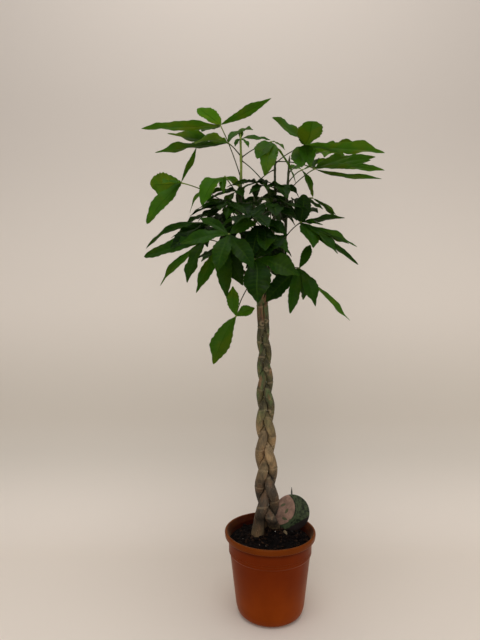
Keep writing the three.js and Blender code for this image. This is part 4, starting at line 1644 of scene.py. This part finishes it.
@dataclass
class Blade:
    """A leaflet's blade: a template shaped once, and bent to its place in each copy."""

    rows: int = 32
    columns: int = 10
    thickness: float = 0.5
    fold: float = 0.2
    wave: float = 0.2
    ripple: float = 0.09
    lobes: float = 0.036
    teeth: float = 0.05
    drawn: float = 0.3
    spread: float = 1.1

    # the template's outline, and that of a pointed and of an oval leaflet: where it is
    # broadest, and how full it is
    flat_outline: Pair = (1.2, 0.9)
    broadest: Pair = (1.2, 0.98)
    fullness: Pair = (0.88, 0.55)
    chance_oval: float = 0.25
    oval_calm: float = 0.6

    # the relief of the side veins and of the rib, and the bend to the sides
    vein_relief: float = 0.010
    vein_count: int = 9
    vein_slant: float = 0.09
    rib_depth: float = 0.35
    rib_width: float = 0.1
    sways: Pair = (0.03, 0.015)

    heart: Triple = (-10, 30, 1120)
    heart_size: Pair = (40, 210)
    heart_shade: float = 0.42
    stations: tuple[float, ...] = (0.06, 0.28, 0.52, 0.74, 0.9)

    def template(self) -> Piece:
        """Model the flat leaflet, 1 long and 2 wide, from the hub at 0 to its tip."""
        blade, along, across = Bench.grid(self.rows, self.columns)
        aside = 2 * across - 1
        drawn = np.sign(aside) * np.abs(aside) ** 1.15
        Bench.move(blade, np.column_stack([along, drawn, np.zeros(len(along))]))
        broadest, fullness = self.flat_outline
        for row in range(self.rows + 1):
            t = row / self.rows
            half = max(math.sin(math.pi * t ** broadest), 0) ** fullness
            with Bench.editing(blade):
                Bench.pick(blade, lambda place: abs(place.x - t) < 0.2 / self.rows)
                bpy.ops.transform.resize(value=(1, max(half, 1e-6), 1))
        Bench.close(blade, 1e-4)
        return blade

    def bend(self, template: Array, leaf: Leaf, row: Row, phase: float,
             rng: random.Random) -> Array:
        """Return the template's vertices bent to one leaflet's place.

        Args:
            template: The flat leaflet's vertices.
            leaf: The leaf that it belongs to.
            row: The leaflet's row in the table, in full.
            phase: Where its margins' waves start.
            rng: The seeded source of chance.

        Returns:
            The vertices' places in millimetres.
        """
        *tip, width, arch, roll, oval, _ = row
        turn = math.radians(roll)
        oval = min(oval + rng.uniform(0.0, self.chance_oval), 1)
        hub, face = np.array(leaf.hub, float), np.array(leaf.face, float)
        chord = np.array(tip) - hub
        length = float(np.linalg.norm(chord))
        along = chord / length
        over = unit(face - along * face.dot(along))
        over = over * math.cos(turn) + np.cross(along, over) * math.sin(turn)
        across = np.cross(over, along)
        t, v = template[:, 0], template[:, 1]
        share = np.clip(np.abs(v) / self._breadth(t, *self.flat_outline), 0, 1)
        full = self._breadth(t, mix(*self.broadest, oval), mix(*self.fullness, oval))
        full *= 1 - self.drawn * (1 - oval) * np.exp(-(((t - 0.9) / 0.09) ** 2))
        half = self.spread * width / 2 * full
        bow = arch * 4 * t * (1 - t)
        slope = arch * 4 * (1 - 2 * t) / length
        normal = unit(over[None, :] - slope[:, None] * along[None, :])
        rise = half * self._relief(t, share, np.sign(v), phase, oval) * np.minimum(1, 8 * t)
        bowed, snaked = self.sways
        sway = rng.uniform(-bowed, bowed) * length * 4 * t * (1 - t) + (
            rng.uniform(-snaked, snaked) * length * np.sin(2 * math.pi * t))
        groove = -self.rib_depth * np.exp(-((share / self.rib_width) ** 2)) * full
        lobes = self.lobes * (1 - oval) * np.sin(14 * t + phase + 1.5 * np.sign(v))
        teeth = self.teeth * np.sin(56 * t + 2 * phase)
        cut = 1 + share ** 2 * (lobes + teeth)
        side = half * share * np.sign(v) * cut + sway
        return (hub + chord * t[:, None] + over * bow[:, None]
                + across * side[:, None] + normal * (rise + groove)[:, None])

    @staticmethod
    def _breadth(t: Array, broadest: float, fullness: float) -> Array:
        """Return an outline's half width along the leaflet, 0 to 1."""
        least = 1e-6
        swell = np.sin(math.pi * np.clip(t, least, 1 - least) ** broadest)
        return np.maximum(swell, least) ** fullness

    def _relief(self, t: Array, share: Array, side: Array, phase: float,
                oval: float) -> Array:
        """Return how high a blade stands over its plane, over its half width.

        Args:
            t: The vertices' shares of the way from the hub to the tip.
            share: Their shares of the way from the rib to the margin.
            side: Their side of the rib, as -1, 0 or 1.
            phase: Where the margins' waves start.
            oval: How oval the leaflet is, 0 to 1.

        Returns:
            The fold, the margins' waves and ripples and the side veins, added up.
        """
        step = np.interp(t, self.stations, range(len(self.stations)))
        calm = 1 - self.oval_calm * oval
        wave = self.wave * calm * np.sin(phase + 2.4 * step - side) * share ** 1.6
        ripple = self.ripple * calm * np.sin(2.3 * phase + 21 * t + 2 * side) * share ** 3
        cup = self.fold * share * (1.5 - 0.5 * share ** 2)
        beat = 2 * math.pi * (self.vein_count * (t - self.vein_slant * share))
        veins = self.vein_relief * np.sin(beat) * share * (1 - share) * 4
        return cup + wave + ripple + veins

    def shade(self, places: Array) -> Array:
        """Return the painted shade of blades at places: darker in the crown's crowded heart.
        """
        away = np.linalg.norm(places - np.array(self.heart), axis=1)
        share = np.clip((away - self.heart_size[0]) / np.ptp(self.heart_size), 0, 1)
        return self.heart_shade + (1 - self.heart_shade) * share


@dataclass
class Crown:
    """All the leafy stems with their hand-shaped leaves."""

    shoots: dict[str, Shoot]
    blade: Blade
    stalk_root: float = 2.8
    stalk_neck: float = 1.55
    stalk_steps: int = 22
    knob: float = 3.4
    stalk_bend: float = 0.12
    seed: int = 7

    # a shoot's step between rings, the swelling under each stalk, its fine rings
    level_step: float = 4
    swelling: float = 0.9
    swelling_height: float = 5
    ring_relief: float = 0.22

    # distance past the shoot's end and radius of the bud; the same of a stalk's knob,
    # with the radius over the knob's
    bud: Rows = ((5, 3.2), (11, 2.6), (17, 1.4), (21, 0.4))
    knob_rows: Rows = ((1.4, 0.95), (2.8, 0.7), (3.6, 0.2))

    # how leaflets differ in youth and in lightness, and how dark an old one is
    # the darkening of old leaflets is also painted shade on the leaves inside the crown
    youth_chance: float = 0.12
    tone_chance: Pair = (0.82, 1.2)
    age_and_shade_tone: float = 0.62
    old_ages: Pair = (0.1, 0.45)

    def build(self, upper: Material, lower: Material,
              shoot_skin: Material) -> None:
        """Model each stem's green parts and blades and dress them."""
        template = self.blade.template()
        flat = Bench.places(template)
        for shoot in self.shoots.values():
            nodes = [f"leafy_stem_{shoot.name}"]
            rng = random.Random(f"{self.seed}{shoot.name}")
            blades = []
            bars = [self._stem(shoot)]
            for number, leaf in enumerate(LEAVES):
                if leaf.stem != shoot.name:
                    continue
                bars.append(self._stalk(shoot, leaf, number, rng))
                blades.extend(self._leaflets(template, flat, leaf, number, rng))
            skin = Bench.join(blades)
            Bench.modify(skin, "SOLIDIFY", thickness=self.blade.thickness * MM, offset=0,
                         material_offset=1, use_quality_normals=True)
            Bench.hang(skin, f"blades_{shoot.name}", nodes, Slot.LEAF, [upper, lower], 50)
            green = Bench.join(bars)
            Bench.hang(green, f"stalks_{shoot.name}", nodes, Slot.LEAF, [shoot_skin], 60)
        bpy.data.objects.remove(template)

    def _leaflets(self, template: Piece, flat: Array, leaf: Leaf,
                  number: int, rng: random.Random) -> list[Piece]:
        """Return one leaf's leaflets, each a copy with its own mesh."""
        made = []
        for i, row in enumerate(leaf.leaflets):
            row = [*row, 0, 0, 0][:8]  # roll, oval and youth are 0 where left out
            places = self.blade.bend(flat, leaf, row, number * 1.9 + i * 2.3, rng)
            copy = Bench.copy(template, places * MM)
            own = LEAF_YOUTH[number] + rng.uniform(-self.youth_chance, self.youth_chance)
            own += row[7]
            Bench.mark(copy, "youth", min(max(own, 0), 1))
            # painted shade: old leaflets, which fill the inside of the crown, and blades near
            # its heart are darkened
            tone = rng.uniform(*self.tone_chance)
            tone *= mix(self.age_and_shade_tone, 1.0, smooth(own, *self.old_ages))
            Bench.mark(copy, "tone", tone * self.blade.shade(places))
            made.append(copy)
        return made

    def _stem(self, shoot: Shoot) -> Piece:
        """Model the shoot with a ring where each stalk leaves and a bud at its tip."""
        heights = shoot.path()[:, 2]
        low, high = heights[0], heights[-1]
        roots = [leaf.root for leaf in LEAVES if leaf.stem == shoot.name]
        points, radii = [], []
        for z in np.linspace(low, high, round((high - low) / self.level_step)):
            swell = sum(math.exp(-(((z - root) / self.swelling_height) ** 2))
                        for root in roots)
            rings = self.ring_relief * max(0, math.sin(z * 0.42)) ** 6
            points.append(shoot.at(z))
            radii.append(mix(*shoot.radius, (z - low) / (high - low))
                         + min(swell, 1.2) * self.swelling + rings)
        end, tip = points[-1], unit(points[-1] - points[-2])
        for step, radius in self.bud:
            points.append(end + tip * step)
            radii.append(radius)
        stem = Bench.tube(np.array(points), radii, 4)
        z = Bench.places(stem)[:, 2] / MM
        Bench.mark(stem, "youth", np.array([shoot.youth(h) for h in z]))
        return stem

    def _stalk(self, shoot: Shoot, leaf: Leaf, number: int, rng: random.Random) -> Piece:
        """Model a leaf's stalk, swollen at its foot and under the hub."""
        hub, root = np.array(leaf.hub, float), shoot.at(leaf.root)
        away = hub - root
        length = float(np.linalg.norm(away))
        middle = root + away / 2
        middle[2] += self.stalk_bend * length
        points = bent(root, middle, hub, self.stalk_steps)
        end = unit(hub - middle)
        sway = rng.uniform(-0.02, 0.02) * length
        aside = unit(np.cross(away, [0.0, 0.0, 1.0]))
        t = np.linspace(0, 1, self.stalk_steps)
        points = points + np.sin(2 * math.pi * t)[:, None] * aside * sway
        run = t * length
        radii = (self.stalk_neck + (self.stalk_root - self.stalk_neck) * np.exp(-run / 8)
                 + 1.0 * np.exp(-(length - run) / 9))
        points = np.vstack([points, *(hub + end * step for step, _ in self.knob_rows)])
        radii = [*radii, *(self.knob * size for _, size in self.knob_rows)]
        stalk = Bench.tube(points, radii, 3)
        places = Bench.places(stalk) / MM
        share = np.clip(np.linalg.norm(places - root, axis=1) / length, 0, 1)
        youth = 0.35 + 0.5 * LEAF_YOUTH[number] * share + 0.25 * share ** 8
        Bench.mark(stalk, "youth", np.clip(youth, 0, 1))
        return stalk


# ---------------------------------------------------------------------------- label


@dataclass
class CareLabel:
    """A round printed card and the dark stick that it is fixed to."""

    radius: float = 54
    thickness: float = 1.2
    centre: Triple = (69.7, 40, 272)
    lean: float = 5
    stick_width: float = 5
    stick_thickness: float = 2
    stick_top: float = 347
    stick_point: float = 14
    stick_bottom: float = 120

    def build(self, effects: Effects) -> None:
        """Model the card and the stick and dress them."""
        self._card(effects)
        self._stick(effects)

    def _lean(self, piece: Piece, angle: float, shift: float = 0) -> None:
        """Turn a piece made at the origin by degrees about X and carry it to its place."""
        places = Bench.places(piece)
        c, s = math.cos(math.radians(angle)), math.sin(math.radians(angle))
        y, z = places[:, 1].copy(), places[:, 2].copy()
        places[:, 1], places[:, 2] = y * c - z * s, y * s + z * c
        x, depth, height = self.centre
        Bench.move(piece, places + np.array([x, depth + shift, height]) * MM)

    def _card(self, effects: Effects) -> None:
        """Model the card with a softly cut edge."""
        Bench.clear()
        bpy.ops.mesh.primitive_cylinder_add(vertices=96, radius=self.radius * MM,
                                            depth=self.thickness * MM)
        card = bpy.context.object
        Bench.modify(card, "BEVEL", width=0.35 * MM, segments=3, limit_method="ANGLE")
        with Bench.editing(card):
            bpy.ops.mesh.select_mode(type="FACE")
            cage = bmesh.from_edit_mesh(card.data)
            for face in cage.faces:
                face.select = abs(face.normal.z) > 0.99
            bmesh.update_edit_mesh(card.data)
            bpy.ops.mesh.inset(thickness=4 * MM)
        self._lean(card, 90 - self.lean)
        finish = CardFinish(self.centre, self.radius)
        Bench.hang(card, "label_card", ["care_label"], Slot.LABEL,
                   [finish.build(effects)], 40)

    def _stick(self, effects: Effects) -> None:
        """Model the flat stick with its pointed top and eased edges."""
        Bench.clear()
        low = (self.stick_bottom - self.centre[2]) * MM
        high = (self.stick_top - self.stick_point - self.centre[2]) * MM
        bpy.ops.mesh.primitive_cube_add(size=1, location=(0, 0, (low + high) / 2))
        stick = bpy.context.object
        stick.scale = (self.stick_width * MM, self.stick_thickness * MM, high - low)
        bpy.ops.object.transform_apply(location=True, scale=True)
        with Bench.editing(stick):
            Bench.pick(stick, lambda place: place.z > high - MM)
            bpy.ops.mesh.extrude_region_move(
                TRANSFORM_OT_translate={"value": (0, 0, self.stick_point * MM)})
            bpy.ops.transform.resize(value=(0.24, 0.8, 1))
        Bench.close(stick)
        Bench.modify(stick, "BEVEL", width=0.35 * MM, segments=2, limit_method="ANGLE")
        back = (self.thickness + self.stick_thickness) / 2 + 0.05
        self._lean(stick, -self.lean, back)
        Bench.hang(stick, "label_stake", ["label_stick"], Slot.STICK,
                   [StickFinish().build(effects)], 30)


# --------------------------------------------------------------------------- studio


@dataclass
class Studio:
    """The camera, the sweep, the floor behind it and the lights: metres, lens in mm."""

    lens: float = 27.06
    sensor: float = 36
    camera_place: Triple = (-0.0895, -1.435, 0.862)
    floor_front: float = 4
    wall_distance: float = 0.75
    wall_height: float = 3.6
    corner: float = 0.42
    width: float = 9
    roughness: float = 0.85
    daylight: Colour = (1.0, 0.985, 0.975)
    floor_colour: Colour = linear(238, 228, 217)
    # painted light: the far floor is paler, to make up for the lamp light that the backdrop
    # keeps off it
    far_floor_light: Colour = linear(250, 241, 230)
    # painted shade: the sweep is darker low on the wall and at its top
    low_wall_shade: Colour = linear(216, 208, 197)
    wall_colour: Colour = linear(231, 222, 212)
    top_wall_shade: Colour = linear(205, 196, 187)

    def build(self) -> None:
        """Set up the whole studio."""
        self._camera()
        self._sweep()
        self._lights()

    def _camera(self) -> None:
        """Place the camera where the photograph was taken from."""
        lens = bpy.data.cameras.new("camera")
        lens.lens, lens.sensor_width = self.lens, self.sensor
        camera = bpy.data.objects.new("camera", lens)
        camera.location = self.camera_place
        camera.rotation_euler = (math.pi / 2, 0, 0)
        bpy.context.scene.collection.objects.link(camera)
        bpy.context.scene.camera = camera

    def _sweep(self) -> None:
        """Model the floor that curves up into the backdrop."""
        Bench.clear()
        bpy.ops.mesh.primitive_plane_add(size=1)
        sweep = bpy.context.object
        with Bench.editing(sweep):
            Bench.pick(sweep, lambda place: place.y < 0)
            bpy.ops.transform.translate(value=(0, 0.5 - self.floor_front, 0))
            Bench.pick(sweep, lambda place: place.y > 0)
            bpy.ops.transform.translate(value=(0, self.wall_distance - 0.5, 0))
            bpy.ops.mesh.extrude_region_move(
                TRANSFORM_OT_translate={"value": (0, 0, self.wall_height)})
            bpy.ops.mesh.select_all(action="SELECT")
            bpy.ops.transform.resize(value=(self.width, 1, 1))
        Bench.modify(sweep, "BEVEL", width=self.corner, segments=24, limit_method="ANGLE")
        Bench.take(sweep)
        bpy.ops.object.shade_smooth()
        sweep.name = "studio_sweep"
        made, board = material("matt_sweep")
        height = board.height()
        # painted shade: the sweep is painted darker low on the wall and towards its top
        base = board.blend(board.span(height, 0.0, 0.3), self.floor_colour, self.low_wall_shade)
        base = board.blend(board.span(height, 0.45, 0.95), base, self.wall_colour)
        base = board.blend(board.span(height, 0.9, 1.9), base, self.top_wall_shade)
        matt = board.add("BsdfPrincipled", {"Base Color": base, "Roughness": self.roughness})
        behind = board.add("NewGeometry").outputs["Backfacing"]
        clear = board.add("BsdfTransparent").outputs[0]
        board.show(board.add("MixShader", {0: behind, 1: matt.outputs[0], 2: clear}))
        sweep.data.materials.append(made)
        self._far_floor()

    def _far_floor(self) -> None:
        """Model the floor behind the backdrop, which only views from behind show."""
        Bench.clear()
        near = self.wall_distance - self.corner
        bpy.ops.mesh.primitive_plane_add(size=1)
        floor = bpy.context.object
        with Bench.editing(floor):
            bpy.ops.mesh.select_all(action="SELECT")
            bpy.ops.transform.resize(value=(self.width, self.width, 1))
            bpy.ops.transform.translate(value=(0, near + self.width / 2, 0))
        floor.name = "studio_far_floor"
        made, board = material("matt_floor")
        # painted light: paler than the front floor, to make up for the lamp light that the
        # backdrop keeps off it
        board.show(board.add("BsdfPrincipled", {"Base Color": self.far_floor_light,
                                                "Roughness": self.roughness}))
        floor.data.materials.append(made)

    @staticmethod
    def _lamp(name: str, place: Row, aim: Row, size: float,
              power: float, tint: Colour = (1, 1, 1)) -> None:
        """Add a square soft lamp that looks at a point."""
        lamp = bpy.data.lights.new(name, "AREA")
        lamp.size, lamp.energy, lamp.color = size, power, tint
        holder = bpy.data.objects.new(name, lamp)
        holder.location = place
        holder.rotation_euler = (Vector(aim) - Vector(place)).to_track_quat(
            "-Z", "Y").to_euler()
        bpy.context.scene.collection.objects.link(holder)

    def _lights(self) -> None:
        """Hang a broad soft light overhead with gentle fill."""
        self._lamp("overhead", (-0.1, -0.7, 3.5), (0.0, -0.2, 0.0), 1.8, 40, self.daylight)
        self._lamp("fill", (-0.6, -3.6, 1.4), (0.0, 0.0, 0.6), 2.0, 26, self.daylight)
        self._lamp("side", (2.6, -0.9, 0.7), (0.0, 0.0, 0.3), 1.2, 5, (1.0, 0.95, 0.9))
        bpy.context.scene.view_settings.view_transform = "Standard"
        world = bpy.data.worlds.new("studio_air")
        world.use_nodes = True
        sky = world.node_tree.nodes["Background"]
        sky.inputs["Color"].default_value = (1.0, 0.985, 0.97, 1)
        sky.inputs["Strength"].default_value = 0.4
        bpy.context.scene.world = world


# ----------------------------------------------------------------------------- main


SHOOTS = {
    shoot.name: shoot for shoot in (
        Shoot("left", "left", (6.5, 3), ((-50, -4, 992), (-78, -4, 1080), (-88, 0, 1200),
                                         (-86, 0, 1320), (-88, 0, 1400)), fresh_from=1300),
        Shoot("lower_left", "left", (5.5, 2.8), ((-52, 18, 982), (-98, 22, 1030),
                                                 (-130, 12, 1090), (-142, 4, 1140))),
        Shoot("middle", "back", (6.2, 3), ((-8, 14, 975), (6, 12, 1080), (14, 6, 1200),
                                           (15, 2, 1338)), freshness=0.1),
        Shoot("back", "back", (6, 3), ((-32, 50, 970), (-38, 84, 1060), (-42, 98, 1160),
                                       (-44, 104, 1275)), freshness=0.1),
        Shoot("right", "right", (6.2, 3), ((18, -12, 972), (42, -8, 1090), (50, -2, 1220),
                                           (57, 0, 1332)), freshness=0.1),
        Shoot("front", "right", (5.5, 2.8), ((-20, -40, 975), (-10, -66, 1050),
                                             (0, -78, 1130)), freshness=0.1),
    )
}


def main() -> None:
    """Build the studio and every piece."""
    logging.basicConfig(level=logging.INFO, format="%(name)s: %(message)s")
    Studio().build()
    effects = Effects()
    NurseryPot().build(PotFinish(), effects)
    PottingMix().build(effects)
    barks = (
        BarkFinish("bark_left", linear(168, 142, 104), linear(96, 90, 55)),
        BarkFinish("bark_right", linear(154, 132, 94), linear(106, 99, 58)),
        BarkFinish("bark_back", linear(142, 120, 86), linear(88, 84, 51)),
    )
    Braid().build(SHOOTS, barks, effects)
    upper = LeafFinish("leaf_upper", linear(17, 53, 7), linear(64, 105, 15),
                       linear(80, 116, 26), 0.42, 0.5).build(effects)
    lower = LeafFinish("leaf_lower", linear(29, 65, 13), linear(72, 112, 23),
                       linear(94, 124, 40), 0.58, 0.7).build(effects)
    Crown(SHOOTS, Blade()).build(upper, lower, ShootFinish().build(effects))
    CareLabel().build(effects)
    LOG.info("all pieces built")


if __name__ == "__main__":
    main()
